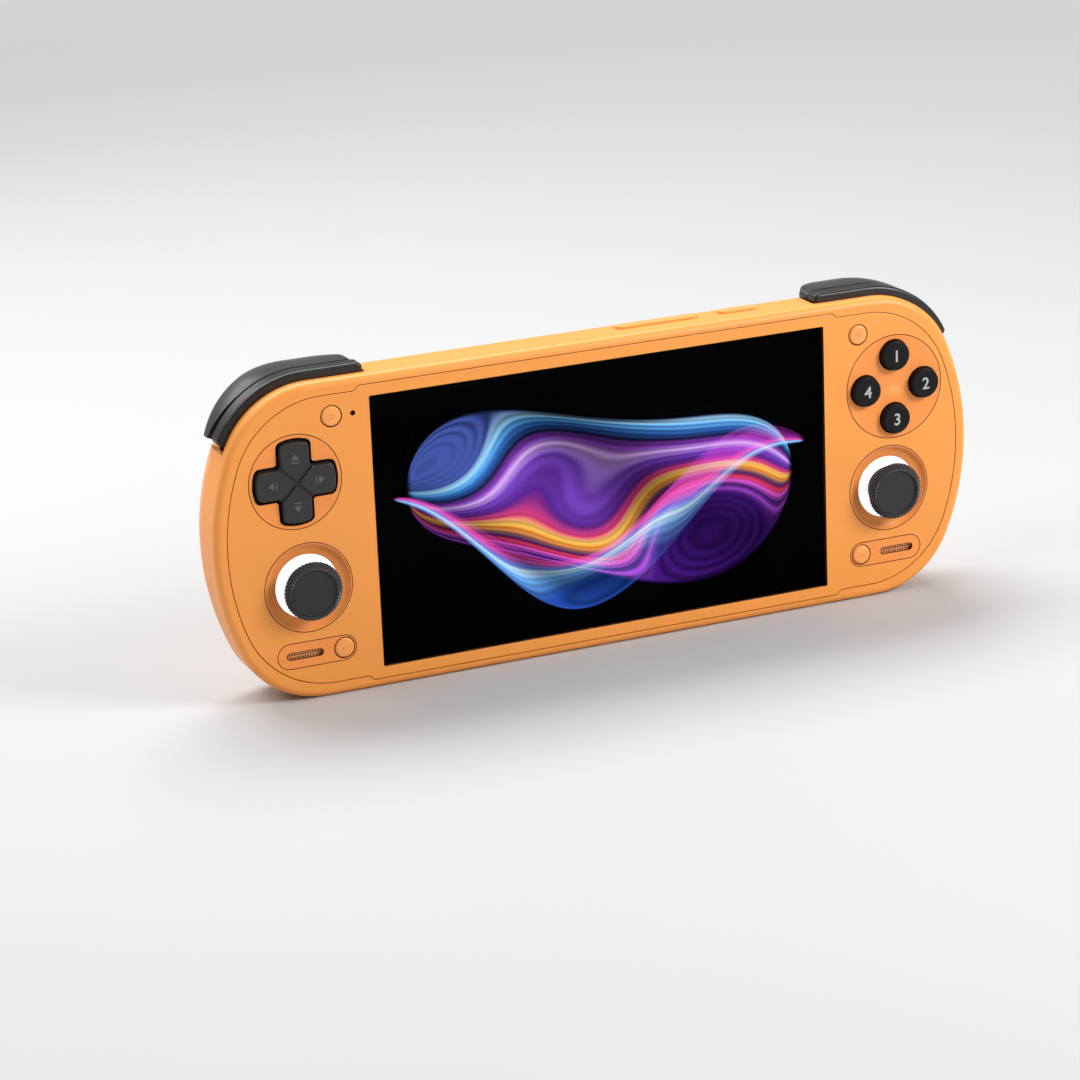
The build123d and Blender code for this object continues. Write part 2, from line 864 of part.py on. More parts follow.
# Cover glass, display panel and the metal tray behind them
with BuildPart() as cover_glass:
    with BuildSketch(behind(glass_front)):
        RectangleRounded(window_width - 2 * fit_gap, window_height - 2 * fit_gap, glass_corner)
    extrude(amount=glass_front - glass_back)

save(cover_glass.part, "cover_glass")

with BuildPart() as display_panel:
    with BuildSketch(behind(floor_front)):
        Rectangle(panel_width, panel_height)
    extrude(amount=floor_front - panel_back)

save(display_panel.part, "display_panel")

with BuildPart() as display_tray:
    with BuildSketch(behind(tray_front)):
        Rectangle(2 * tray_half_width, 2 * tray_half_height)
        with Locations((-tray_half_width, tray_half_height), (tray_half_width, tray_half_height)):
            Rectangle(
                2 * (tray_half_width - tray_notch_x), 2 * (tray_half_height - tray_notch_y), mode=Mode.SUBTRACT
            )
    extrude(amount=tray_front - tray_back)

save(display_tray.part, "display_tray")


# Direction pad, the dish round it, its pivot and its membrane
with BuildPart() as pad_dish:
    with BuildSketch(spot(pad_x, pad_y)):
        Circle(pad_dish_radius)
    extrude(amount=-plate_depth)
    with BuildSketch(cut_through(pad_x, pad_y)):
        with BuildLine():
            rim = pad_dish_radius - plate_edge_radius
            Line((0, 0), (rim, 0))
            bowl(rim, 0, dish_hollow)
            Line((0, -dish_hollow), (0, 0))
        make_face()
    revolve(axis=out_axis(pad_x, pad_y), mode=Mode.SUBTRACT)
    with BuildSketch(spot(pad_x, pad_y)):
        add(cross_face(pad_reach + pad_gap, pad_arm_width + 2 * pad_gap, pad_corner_radius, pad_inner_radius))
    extrude(amount=-plate_depth, mode=Mode.SUBTRACT)

save(pad_dish.part, "pad_dish")

with BuildPart() as direction_pad:
    with BuildSketch(spot(pad_x, pad_y, pad_flange_front)):
        add(cross_face(pad_reach, pad_arm_width, pad_corner_radius, pad_inner_radius))
    extrude(amount=pad_flange_front - plate_depth)
    with BuildSketch(spot(pad_x, pad_y, plate_depth)):
        add(cross_face(pad_reach, pad_arm_width, pad_corner_radius, pad_inner_radius))
    extrude(amount=plate_depth + pad_height, taper=pad_taper)
    fillet(direction_pad.faces().filter_by(Axis.Y).sort_by(Axis.Y)[0].edges(), pad_edge_radius)
    with BuildSketch(spot(pad_x, pad_y, pad_flange_back)):
        Circle(pad_flange_radius)
    extrude(amount=pad_flange_back - pad_flange_front)
    with BuildSketch(spot(pad_x, pad_y, -pad_height)):
        for turn in (45, -45):
            with Locations(Rotation(0, 0, turn)):
                SlotOverall(pad_groove_length, pad_groove_width)
    extrude(amount=-pad_groove_depth, mode=Mode.SUBTRACT)
    with BuildSketch(cut_through(pad_x, pad_y)):
        with Locations((0, -pad_pivot_depth)):
            Circle(pad_pivot_radius + pad_socket_gap)
        with Locations((-pad_reach, -pad_pivot_depth)):
            Rectangle(2 * pad_reach, 2 * pad_reach, mode=Mode.SUBTRACT)
    revolve(axis=out_axis(pad_x, pad_y), mode=Mode.SUBTRACT)

save(direction_pad.part, "direction_pad")

with BuildPart() as pad_pivot:
    with Locations(spot(pad_x, pad_y, pad_pivot_depth)):
        Sphere(pad_pivot_radius)

save(pad_pivot.part, "pad_pivot")

with BuildPart() as pad_membrane:
    with BuildSketch(spot(pad_x, pad_y, membrane_back)):
        Circle(membrane_pad_radius)
        Circle(2 * pad_pivot_radius, mode=Mode.SUBTRACT)
    extrude(amount=membrane_back - membrane_front)
    with BuildSketch(spot(pad_x, pad_y, membrane_front)):
        with PolarLocations(membrane_pad_spread, 4):
            Circle(membrane_dome_radius)
    extrude(amount=membrane_pad_dome)

save(pad_membrane.part, "pad_membrane")


# Face buttons, the dish round them and their membrane
with BuildPart() as button_dish:
    with BuildSketch(spot(face_x, face_y)):
        Circle(face_dish_radius)
    extrude(amount=-plate_depth)
    with BuildSketch(cut_through(face_x, face_y)):
        with BuildLine():
            rim = face_dish_radius - plate_edge_radius
            Line((0, 0), (rim, 0))
            bowl(rim, 0, dish_hollow)
            Line((0, -dish_hollow), (0, 0))
        make_face()
    revolve(axis=out_axis(face_x, face_y), mode=Mode.SUBTRACT)
    with BuildSketch(spot(face_x, face_y)):
        with Locations(*face_places()):
            Circle(face_button_radius + face_button_gap)
    extrude(amount=-plate_depth, mode=Mode.SUBTRACT)

save(button_dish.part, "button_dish")


def push_button(x, y, radius, height, edge, flange_radius, flange_front, flange_back):
    """Round button with a rounded top edge and a flange that keeps it in its hole."""
    with BuildPart() as button:
        with BuildSketch(spot(x, y, flange_front)):
            Circle(radius)
        extrude(amount=flange_front + height)
        fillet(button.faces().filter_by(Axis.Y).sort_by(Axis.Y)[0].edges(), edge)
        with BuildSketch(spot(x, y, flange_back)):
            Circle(flange_radius)
        extrude(amount=flange_back - flange_front)
    return button.part


for index, (button_x, button_y) in enumerate(face_places()):
    face_button = push_button(
        face_x + button_x, face_y + button_y, face_button_radius, face_button_height,
        face_button_edge, face_flange_radius, face_flange_front, face_flange_back,
    )
    save(face_button, "face_button_" + str(index + 1))

with BuildPart() as button_membrane:
    with BuildSketch(spot(face_x, face_y, membrane_back)):
        Circle(membrane_face_radius)
    extrude(amount=membrane_back - membrane_front)
    with BuildSketch(spot(face_x, face_y, membrane_front)):
        with Locations(*face_places()):
            Circle(membrane_dome_radius)
    extrude(amount=membrane_face_dome)

save(button_membrane.part, "button_membrane")

small_names = ("upper_left_button", "upper_right_button", "lower_left_button", "lower_right_button")
for small_name, (button_x, button_y) in zip(small_names, small_places()):
    small_button = push_button(
        button_x, button_y, small_radius, small_height, small_edge_radius,
        small_flange_radius, small_flange_front, small_flange_back,
    )
    save(small_button, small_name)


def stick_bezel(x):
    """Orange ring that dips from the faceplate down to the light ring."""
    with BuildPart() as bezel:
        with BuildSketch(cut_through(x, stick_y)):
            with BuildLine():
                inner = light_radius + fit_gap
                middle = (
                    (bezel_lip_radius + bezel_foot_radius) / 2 - bezel_bow / 2,
                    -bezel_foot_depth / 2 - bezel_bow,
                )
                Line((inner, -floor_back), (inner, -light_depth))
                Line((inner, -light_depth), (bezel_foot_radius, -bezel_foot_depth))
                ThreePointArc((bezel_foot_radius, -bezel_foot_depth), middle, (bezel_lip_radius, 0))
                Line((bezel_lip_radius, 0), (bezel_radius, 0))
                Line((bezel_radius, 0), (bezel_radius, -plate_depth))
                Line((bezel_radius, -plate_depth), (bezel_seat_radius - fit_gap, -plate_depth))
                Line((bezel_seat_radius - fit_gap, -plate_depth), (bezel_seat_radius - fit_gap, -floor_back))
                Line((bezel_seat_radius - fit_gap, -floor_back), (inner, -floor_back))
            make_face()
        revolve(axis=out_axis(x, stick_y))
    return bezel.part


def light_ring(x):
    """White ring under the cap, with a flange behind the bezel."""
    with BuildPart() as ring:
        with BuildSketch(spot(x, stick_y, light_depth)):
            Circle(light_radius)
            Circle(light_inner_radius, mode=Mode.SUBTRACT)
        extrude(amount=light_depth - light_flange_back)
        with BuildSketch(spot(x, stick_y, floor_back + fit_gap)):
            Circle(light_flange_radius)
            Circle(light_inner_radius, mode=Mode.SUBTRACT)
        extrude(amount=floor_back + fit_gap - light_flange_back)
    return ring.part


def stick_cap(x):
    """Knurled thumb cap with a hollow top, a grip ring and a stem that slides on the shaft."""
    with BuildPart() as cap:
        with BuildSketch(cut_through(x, stick_y)):
            with BuildLine():
                socket = shaft_radius + running_gap
                Polyline(
                    (socket, -cap_stem_end), (cap_stem_radius, -cap_stem_end), (cap_stem_radius, cap_foot_height),
                    (cap_foot_radius, cap_foot_height), (cap_radius, cap_wide_low), (cap_radius, cap_wide_high),
                    (cap_lip_radius, cap_top_height), (cap_dish_radius, cap_top_height),
                )
                bowl(cap_dish_radius, cap_top_height, cap_dish_depth)
                Polyline(
                    (0, cap_top_height - cap_dish_depth), (0, cap_socket_height),
                    (socket, cap_socket_height), (socket, -cap_stem_end),
                )
            make_face()
        revolve(axis=out_axis(x, stick_y))
    return cap.part


def stick_shaft(x):
    """Shaft with its hub, its two pins and the dome that hides the works."""
    with BuildPart() as shaft:
        with BuildSketch(spot(x, stick_y, pivot_depth + shaft_foot)):
            Circle(shaft_radius)
        extrude(amount=pivot_depth + shaft_foot + shaft_top_height)
        with BuildSketch(spot(x, stick_y, pivot_depth + hub_half_height)):
            Circle(hub_radius)
        extrude(amount=2 * hub_half_height)
        with BuildSketch(Plane.XY.offset(body_half_height + stick_y)):
            with Locations((x, face_setback + pivot_depth)):
                Circle(stick_pin_radius)
        extrude(amount=shaft_pin_reach, both=True)
        with BuildSketch(cut_through(x, stick_y)):
            with BuildLine():
                outer = dome_radius
                inner = dome_radius - dome_thickness
                low = 90 - dome_angle
                half = 90 - dome_angle / 2
                ThreePointArc(
                    (0, outer - pivot_depth), ring_point(0, -pivot_depth, outer, half),
                    ring_point(0, -pivot_depth, outer, low),
                )
                Line(ring_point(0, -pivot_depth, outer, low), ring_point(0, -pivot_depth, inner, low))
                ThreePointArc(
                    ring_point(0, -pivot_depth, inner, low), ring_point(0, -pivot_depth, inner, half),
                    (0, inner - pivot_depth),
                )
                Line((0, inner - pivot_depth), (0, outer - pivot_depth))
            make_face()
        revolve(axis=out_axis(x, stick_y))
    return shaft.part


def stick_yoke(x):
    """Ring that carries the shaft and turns on two pins in the housing."""
    with BuildPart() as yoke:
        with BuildSketch(spot(x, stick_y, pivot_depth + yoke_half_height)):
            Circle(yoke_outer_radius)
            Circle(yoke_inner_radius, mode=Mode.SUBTRACT)
        extrude(amount=2 * yoke_half_height)
        ring_middle = (yoke_inner_radius + yoke_outer_radius) / 2
        for side in (-1, 1):
            with BuildSketch(side_view(x + side * ring_middle)):
                with Locations((pivot_depth, stick_y)):
                    Circle(stick_pin_radius)
            extrude(amount=side * (yoke_pin_reach - ring_middle))
        with BuildSketch(Plane.XY.offset(body_half_height + stick_y)):
            with Locations((x, face_setback + pivot_depth)):
                Circle(stick_pin_radius + running_gap)
        extrude(amount=2 * yoke_outer_radius, both=True, mode=Mode.SUBTRACT)
    return yoke.part


def stick_housing(x):
    """Open square box with bearings for the yoke and a flange behind the board."""
    with BuildPart() as housing:
        with BuildSketch(spot(x, stick_y, housing_front)):
            Rectangle(2 * housing_half, 2 * housing_half)
        extrude(amount=housing_front - housing_back)
        with BuildSketch(spot(x, stick_y, housing_flange_front)):
            Rectangle(2 * housing_flange_half, 2 * housing_flange_half)
        extrude(amount=housing_flange_front - housing_flange_back)
        with BuildSketch(spot(x, stick_y, housing_front)):
            Rectangle(2 * (housing_half - housing_wall), 2 * (housing_half - housing_wall))
        extrude(amount=housing_front - housing_back + housing_wall, mode=Mode.SUBTRACT)
        with BuildSketch(side_view(x)):
            with Locations((pivot_depth, stick_y)):
                Circle(stick_pin_radius + running_gap)
        extrude(amount=housing_half, both=True, mode=Mode.SUBTRACT)
    return housing.part


for side_name, side in (("left", -1), ("right", 1)):
    save(stick_bezel(side * stick_x), side_name + "_stick_bezel")
    save(light_ring(side * stick_x), side_name + "_light_ring")
    save(stick_cap(side * stick_x), side_name + "_stick_cap")
    save(stick_shaft(side * stick_x), side_name + "_stick_shaft")
    save(stick_yoke(side * stick_x), side_name + "_stick_yoke")
    save(stick_housing(side * stick_x), side_name + "_stick_housing")


# Speaker cover: a pill with a hole for the small button, a slot, and a pocket for the mesh
with BuildPart() as speaker_cover:
    with BuildSketch(spot(pill_x, small_lower_y)):
        SlotOverall(pill_length - 2 * seam_gap, pill_height - 2 * seam_gap)
    extrude(amount=-plate_depth)
    with BuildSketch(spot(small_lower_x, small_lower_y)):
        Circle(small_radius + small_gap)
    extrude(amount=-plate_depth, mode=Mode.SUBTRACT)
    with BuildSketch(spot(slot_x, small_lower_y)):
        SlotOverall(slot_length, slot_height)
    extrude(amount=-plate_depth, mode=Mode.SUBTRACT)
    with BuildSketch(spot(slot_x, small_lower_y, mesh_front - fit_gap)):
        SlotOverall(mesh_length + 2 * fit_gap, mesh_height + 2 * fit_gap)
    extrude(amount=mesh_front - fit_gap - plate_depth, mode=Mode.SUBTRACT)

with BuildPart() as speaker_mesh:
    with BuildSketch(spot(slot_x, small_lower_y, mesh_front)):
        SlotOverall(mesh_length, mesh_height)
        with GridLocations(mesh_pitch, mesh_pitch, mesh_columns, mesh_rows):
            Circle(mesh_hole_radius, mode=Mode.SUBTRACT)
    extrude(amount=mesh_front - mesh_back)

with BuildPart() as speaker:
    with BuildSketch(spot(speaker_x, small_lower_y, speaker_front)):
        Rectangle(speaker_length, speaker_height)
    extrude(amount=speaker_front - speaker_back)
    with BuildSketch(spot(speaker_x, small_lower_y, speaker_front)):
        Circle(speaker_cone_radius)
    extrude(amount=-speaker_cone_depth, mode=Mode.SUBTRACT)

for speaker_piece, speaker_name in (
    (speaker_cover.part, "speaker_cover"), (speaker_mesh.part, "speaker_mesh"), (speaker.part, "speaker"),
):
    save(mirrored(speaker_piece), "left_" + speaker_name)
    save(speaker_piece, "right_" + speaker_name)


# Shoulder button: a strip round the corner, with a boss that turns on its pin
with BuildPart() as shoulder_button:
    with BuildSketch(behind(strip_front)):
        add(corner_band(-strip_inner, strip_outer, strip_start_x, strip_end_angle))
    extrude(amount=strip_front - strip_back)
    fillet(shoulder_button.edges().filter_by(Axis.Y), strip_end_radius)
    strip_outside = shoulder_button.edges().filter_by(Plane.XZ).group_by(SortBy.LENGTH)[-1]
    fillet(strip_outside, strip_edge_radius)
    with BuildSketch(behind(strip_front)):
        with Locations((shoulder_pin_x, shoulder_pin_y)):
            Circle(shoulder_boss_radius)
    extrude(amount=strip_front - strip_back)
    with BuildSketch(behind(strip_front)):
        with Locations((shoulder_pin_x, shoulder_pin_y)):
            Circle(shoulder_pin_radius + running_gap)
    extrude(amount=strip_front - strip_back, mode=Mode.SUBTRACT)

save(mirrored(shoulder_button.part), "left_shoulder_button")
save(shoulder_button.part, "right_shoulder_button")

def pulled_front(y):
    """Depth at a place up the face where the trigger's front just clears the shoulder button when pulled."""
    lean = radians(trigger_pull_angle)
    clear = strip_back + trigger_strip_gap - trigger_axis_depth
    return trigger_axis_depth + (clear - (y - trigger_axis_y) * sin(lean)) / cos(lean)


# Trigger: a curved paddle behind the shoulder button, hung on two ears
with BuildPart() as trigger:
    for section_depth, section_faces in (
        (trigger_front, trigger_front_faces),
        (trigger_middle, trigger_middle_faces),
        (trigger_back, trigger_back_faces),
    ):
        with BuildSketch(behind(section_depth)):
            add(corner_band(section_faces[0], section_faces[1], trigger_start_x, trigger_end_angle))
    loft()
    inner_edges = trigger.edges().filter_by_position(
        Axis.X, trigger_start_x - fit_gap, trigger_start_x + fit_gap
    )
    fillet(inner_edges.sort_by(Axis.Z)[-1], trigger_inner_radius)
    with BuildSketch(plan_view(0)):
        with BuildLine():
            Line((trigger_start_x, trigger_front), (trigger_start_x, trigger_inner_back))
            Spline(
                (trigger_start_x, trigger_inner_back), (trigger_peak_x, trigger_back),
                (trigger_slope_x, trigger_slope_back), (trigger_tip_x, trigger_tip_back),
                tangents=((1, 1), (1, -1)),
            )
            Line((trigger_tip_x, trigger_tip_back), (trigger_tip_x, trigger_front))
            Line((trigger_tip_x, trigger_front), (trigger_start_x, trigger_front))
        make_face()
    extrude(amount=2 * body_half_height, mode=Mode.INTERSECT)
    with BuildSketch(side_view(0)):
        with BuildLine():
            Line((pulled_front(0), 0), (pulled_front(body_half_width), body_half_width))
            Line((pulled_front(body_half_width), body_half_width), (trigger_back, body_half_width))
            Line((trigger_back, body_half_width), (trigger_back, 0))
            Line((trigger_back, 0), (pulled_front(0), 0))
        make_face()
    extrude(amount=body_half_width, mode=Mode.INTERSECT)
    for ear_x in trigger_ear_places:
        with BuildSketch(side_view(ear_x - trigger_ear_width / 2)):
            with Locations((trigger_axis_depth, trigger_axis_y)):
                Circle(trigger_ear_radius)
            with Locations((trigger_axis_depth, trigger_axis_y + trigger_ear_radius)):
                Rectangle(2 * trigger_ear_radius, 2 * trigger_ear_radius)
        extrude(amount=trigger_ear_width)
        with BuildSketch(side_view(ear_x - trigger_ear_width / 2)):
            with Locations((trigger_axis_depth, trigger_axis_y)):
                Circle(trigger_pin_radius + running_gap)
        extrude(amount=trigger_ear_width, mode=Mode.SUBTRACT)

save(mirrored(trigger.part), "left_trigger")
save(trigger.part, "right_trigger")

with BuildPart() as trigger_pins:
    for side in (-1, 1):
        with BuildSketch(side_view(side * trigger_boss_start)):
            with Locations((trigger_axis_depth, trigger_axis_y)):
                Circle(trigger_pin_radius)
        extrude(amount=side * (trigger_lug_end - trigger_boss_start))

save(trigger_pins.part, "trigger_pins")

with BuildPart() as trigger_springs:
    for side in (-1, 1):
        with BuildSketch(side_view(side * spring_start)):
            with Locations((trigger_axis_depth, trigger_axis_y)):
                Circle(spring_radius)
                Circle(trigger_pin_radius + running_gap, mode=Mode.SUBTRACT)
        extrude(amount=side * (spring_end - spring_start))

save(trigger_springs.part, "trigger_springs")

with BuildPart() as shoulder_pins:
    with BuildSketch(behind(shoulder_pin_front)):
        with Locations((-shoulder_pin_x, shoulder_pin_y), (shoulder_pin_x, shoulder_pin_y)):
            Circle(shoulder_pin_radius)
    extrude(amount=shoulder_pin_front - strip_back)

save(shoulder_pins.part, "shoulder_pins")


# Volume rocker and power button in their slots, with a flange under the top wall
for key_name, (key_start, key_end) in side_keys.items():
    key_middle = (key_start + key_end) / 2
    key_length = key_end - key_start
    with BuildPart() as side_key:
        with BuildSketch(plan_view(side_key_flange_bottom)):
            with Locations((key_middle, side_key_depth)):
                SlotOverall(key_length + 2 * side_key_flange_extra, side_key_flange_width)
        extrude(amount=side_key_flange_top - side_key_flange_bottom)
        with BuildSketch(plan_view(side_key_flange_top)):
            with Locations((key_middle, side_key_depth)):
                SlotOverall(key_length, side_key_width)
        extrude(amount=body_half_height + side_key_proud - side_key_flange_top)
        fillet(side_key.faces().filter_by(Axis.Z).sort_by(Axis.Z)[-1].edges(), side_key_edge_radius)
    save(side_key.part, key_name)


# Boards
with BuildPart() as mainboard:
    with BuildSketch(spot((main_left + main_right) / 2, (main_bottom + main_top) / 2, main_front)):
        Rectangle(main_right - main_left, main_top - main_bottom)
    extrude(amount=main_front - main_back)

save(mainboard.part, "mainboard")

with BuildPart() as button_board:
    with BuildSketch(behind(board_front)):
        with BuildLine():
            body_outline(board_inset, board_start_x)
            board_edge = body_half_height - board_inset
            Line((board_start_x, -board_edge), (board_start_x, board_edge))
        make_face()
        with Locations(((board_start_x + board_end_x) / 2, (board_top + board_bottom) / 2)):
            Rectangle(board_end_x - board_start_x, board_top - board_bottom, mode=Mode.INTERSECT)
        with Locations((board_notch_x + (body_half_width - board_notch_x) / 2, board_notch_top - board_top / 2)):
            Rectangle(body_half_width - board_notch_x, board_top, mode=Mode.SUBTRACT)
        with Locations((stick_x, stick_y)):
            Rectangle(2 * board_cut_half, 2 * board_cut_half, mode=Mode.SUBTRACT)
        with Locations(*post_places):
            Circle(board_post_hole, mode=Mode.SUBTRACT)
    extrude(amount=board_front - board_back)

save(mirrored(button_board.part), "left_button_board")
save(button_board.part, "right_button_board")


# Push switches: four for the small buttons, two for the volume rocker, one for power
with BuildPart() as push_switches:
    with BuildSketch(behind(board_front - fit_gap)):
        with Locations(*small_places()):
            Rectangle(2 * switch_half, 2 * switch_half)
    extrude(amount=board_front - fit_gap - switch_body_front)
    with BuildSketch(behind(switch_body_front)):
        with Locations(*small_places()):
            Circle(switch_plunger_radius)
    extrude(amount=switch_body_front - switch_plunger_front)
    rocker_middle = (volume_start + volume_end) / 2
    rocker_reach = (volume_end - volume_start) / 3
    for switch_x in (rocker_middle - rocker_reach, rocker_middle + rocker_reach, (power_start + power_end) / 2):
        with BuildSketch(plan_view(side_switch_bottom)):
            with Locations((switch_x, side_key_depth)):
                Rectangle(2 * side_switch_half, 2 * (side_key_depth - main_back - fit_gap))
        extrude(amount=side_switch_body_top - side_switch_bottom)
        with BuildSketch(plan_view(side_switch_body_top)):
            with Locations((switch_x, side_key_depth)):
                Circle(side_switch_plunger)
        extrude(amount=side_switch_top - side_switch_body_top)

save(push_switches.part, "push_switches")


# Battery
with BuildPart() as battery:
    with BuildSketch(spot(0, (battery_top + battery_bottom) / 2, battery_front)):
        Rectangle(battery_width, battery_top - battery_bottom)
    extrude(amount=battery_front - battery_back)
    fillet(battery.edges().filter_by(Axis.X), battery_edge)

save(battery.part, "battery")


# Fan: a square housing open at the back, with a bladed rotor on its axle, and the heat sink
with BuildPart() as fan_housing:
    with BuildSketch(spot(fan_x, fan_y, fan_front)):
        Rectangle(2 * fan_half, 2 * fan_half)
    extrude(amount=fan_front - fan_back)
    with BuildSketch(spot(fan_x, fan_y, fan_front + fan_wall)):
        Circle(fan_bore_radius)
    extrude(amount=fan_front + 2 * fan_wall - fan_back, mode=Mode.SUBTRACT)
    with BuildSketch(spot(fan_x, fan_y, fan_front)):
        Circle(fan_axle_radius)
    extrude(amount=fan_front - fan_hub_back + fan_wall)

save(fan_housing.part, "fan_housing")

with BuildPart() as fan_rotor:
    with BuildSketch(spot(fan_x, fan_y, fan_hub_front)):
        Circle(fan_hub_radius)
        with PolarLocations(0, fan_blade_count):
            with Locations((fan_rotor_radius / 2, 0)):
                Rectangle(fan_rotor_radius, fan_blade_thickness)
    extrude(amount=fan_hub_front - fan_hub_back)
    with BuildSketch(spot(fan_x, fan_y, fan_hub_front)):
        Circle(fan_axle_radius + running_gap)
    extrude(amount=fan_hub_front - fan_hub_back + fan_wall, mode=Mode.SUBTRACT)

save(fan_rotor.part, "fan_rotor")

with BuildPart() as heat_sink:
    with BuildSketch(spot((sink_left + sink_right) / 2, (sink_bottom + sink_top) / 2, sink_front)):
        Rectangle(sink_right - sink_left, sink_top - sink_bottom)
    extrude(amount=sink_front - sink_base_back)
    with BuildSketch(spot((sink_left + sink_right) / 2, (sink_bottom + sink_top) / 2, sink_base_back)):
        fin_pitch = (sink_right - sink_left - sink_fin_thickness) / (sink_fin_count - 1)
        with GridLocations(fin_pitch, 0, sink_fin_count, 1):
            Rectangle(sink_fin_thickness, sink_top - sink_bottom)
    extrude(amount=sink_base_back - sink_back)

save(heat_sink.part, "heat_sink")


# Port board and its sockets
with BuildPart() as port_board:
    with BuildSketch(spot(0, (port_board_top + port_board_bottom) / 2, port_board_front)):
        Rectangle(2 * port_board_half, port_board_top - port_board_bottom)
        notch_top = wall + fit_gap + jack_length + fit_gap - body_half_height
        notch_height = notch_top - port_board_bottom
        with Locations((jack_x, notch_top - notch_height / 2 - (port_board_top + port_board_bottom) / 2)):
            Rectangle(jack_body_width + 2 * fit_gap, notch_height, mode=Mode.SUBTRACT)
    extrude(amount=port_board_front - port_board_back)

save(port_board.part, "port_board")

with BuildPart() as usb_socket:
    with BuildSketch(plan_view(-body_half_height)):
        with Locations((0, usb_depth)):
            SlotOverall(usb_width, usb_height)
            SlotOverall(usb_width - 2 * usb_wall, usb_height - 2 * usb_wall, mode=Mode.SUBTRACT)
    extrude(amount=usb_length)
    with BuildSketch(plan_view(-body_half_height + usb_length - usb_wall)):
        with Locations((0, usb_depth)):
            SlotOverall(usb_width, usb_height)
    extrude(amount=usb_wall)
    with BuildSketch(plan_view(-body_half_height + usb_length)):
        with Locations((0, usb_depth)):
            Rectangle(usb_tongue_width, usb_tongue_thickness)
    extrude(amount=-usb_wall - usb_tongue_length)

save(usb_socket.part, "usb_socket")

with BuildPart() as headphone_jack:
    with BuildSketch(plan_view(-body_half_height + wall + fit_gap)):
        with Locations((jack_x, jack_depth)):
            Rectangle(jack_body_width, jack_body_height)
    extrude(amount=jack_length)
    with BuildSketch(plan_view(-body_half_height)):
        with Locations((jack_x, jack_depth)):
            Circle(jack_collar_radius)
    extrude(amount=2 * wall)
    with BuildSketch(plan_view(-body_half_height)):
        with Locations((jack_x, jack_depth)):
            Circle(jack_bore_radius)
    extrude(amount=jack_bore_length, mode=Mode.SUBTRACT)

save(headphone_jack.part, "headphone_jack")

with BuildPart() as card_socket:
    with BuildSketch(plan_view(-body_half_height + wall + fit_gap)):
        with Locations((card_x, card_depth)):
            Rectangle(card_width, card_height)
    extrude(amount=card_length)
    with BuildSketch(plan_view(-body_half_height + wall + fit_gap)):
        with Locations((card_x, card_depth)):
            Rectangle(card_slot_width, card_slot_height)
    extrude(amount=card_length - wall, mode=Mode.SUBTRACT)

save(card_socket.part, "card_socket")


# Shell screws
with BuildPart() as shell_screws:
    with BuildSketch(behind(screw_tip_depth)):
        with Locations(*all_posts()):
            Circle(screw_radius)
    extrude(amount=screw_tip_depth - screw_seat_depth)
    with BuildSketch(behind(screw_seat_depth)):
        with Locations(*all_posts()):
            Circle(screw_head_radius)
    extrude(amount=-screw_head_height)
    with BuildSketch(behind(screw_seat_depth + screw_head_height)):
        with Locations(*all_posts()):
            RegularPolygon(screw_socket_radius, 6)
    extrude(amount=screw_socket_depth, mode=Mode.SUBTRACT)

save(shell_screws.part, "shell_screws")
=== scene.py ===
import json
import math

import bpy
from bpy.props import FloatProperty, FloatVectorProperty, IntProperty, PointerProperty
from mathutils import Matrix, Vector


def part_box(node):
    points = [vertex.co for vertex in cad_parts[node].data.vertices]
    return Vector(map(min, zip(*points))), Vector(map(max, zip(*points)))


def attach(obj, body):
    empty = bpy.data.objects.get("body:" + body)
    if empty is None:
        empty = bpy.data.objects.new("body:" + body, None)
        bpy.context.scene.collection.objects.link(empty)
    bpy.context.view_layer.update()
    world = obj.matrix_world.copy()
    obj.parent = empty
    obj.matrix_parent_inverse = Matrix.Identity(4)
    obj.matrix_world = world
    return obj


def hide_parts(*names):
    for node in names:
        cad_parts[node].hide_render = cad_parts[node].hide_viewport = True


bl_info = {
    "name": "Handheld Console Looks",
    "version": (1, 0, 0),
    "blender": (4, 5, 0),
    "location": "3D View > Sidebar > Console",
    "description": "Finishes and fine detail for a handheld game console",
    "category": "Object",
}

MM = 0.001
SIDES = ("left", "right")
SMALL_BUTTONS = ("upper_left", "upper_right", "lower_left", "lower_right")
FACE_BUTTONS = range(1, 5)

# Painted shade in the joints, grooves and holes, and on lines beside the face's inserts
JOINT_SHADE_ORANGE = (0.07, 0.014, 0.003)
JOINT_SHADE_BLACK = (0.003, 0.003, 0.003)
JOINT_GAP = 0.12 * MM
JOINT_SPREAD = 0.12 * MM
SHADE_LINE_STRENGTH = 0.8  # share of the painted shade's colour on the painted shade lines
GROOVE_FLOOR = 0.28 * MM  # half widths of the pad's grooves, and their length from its middle
GROOVE_EDGE = 0.42 * MM
GROOVE_REACH = 5.6 * MM
INSERTS = (
    "pad_dish", "button_dish", "left_stick_bezel", "right_stick_bezel", "left_speaker_cover", "right_speaker_cover"
)

# Scales of the plastic's noises, in bumps per metre
DRIFT_SCALE = 38.0
RUBBED_SCALE = 95.0
GRAIN_SCALE = 1700.0
SPECKLE_SCALE = 5200.0

# Depths of the finishes' bumps, in metres
POLISHED_BUMP = 0.00001
MOULDED_BUMP = 0.00002
BOARD_BUMP = 0.00003

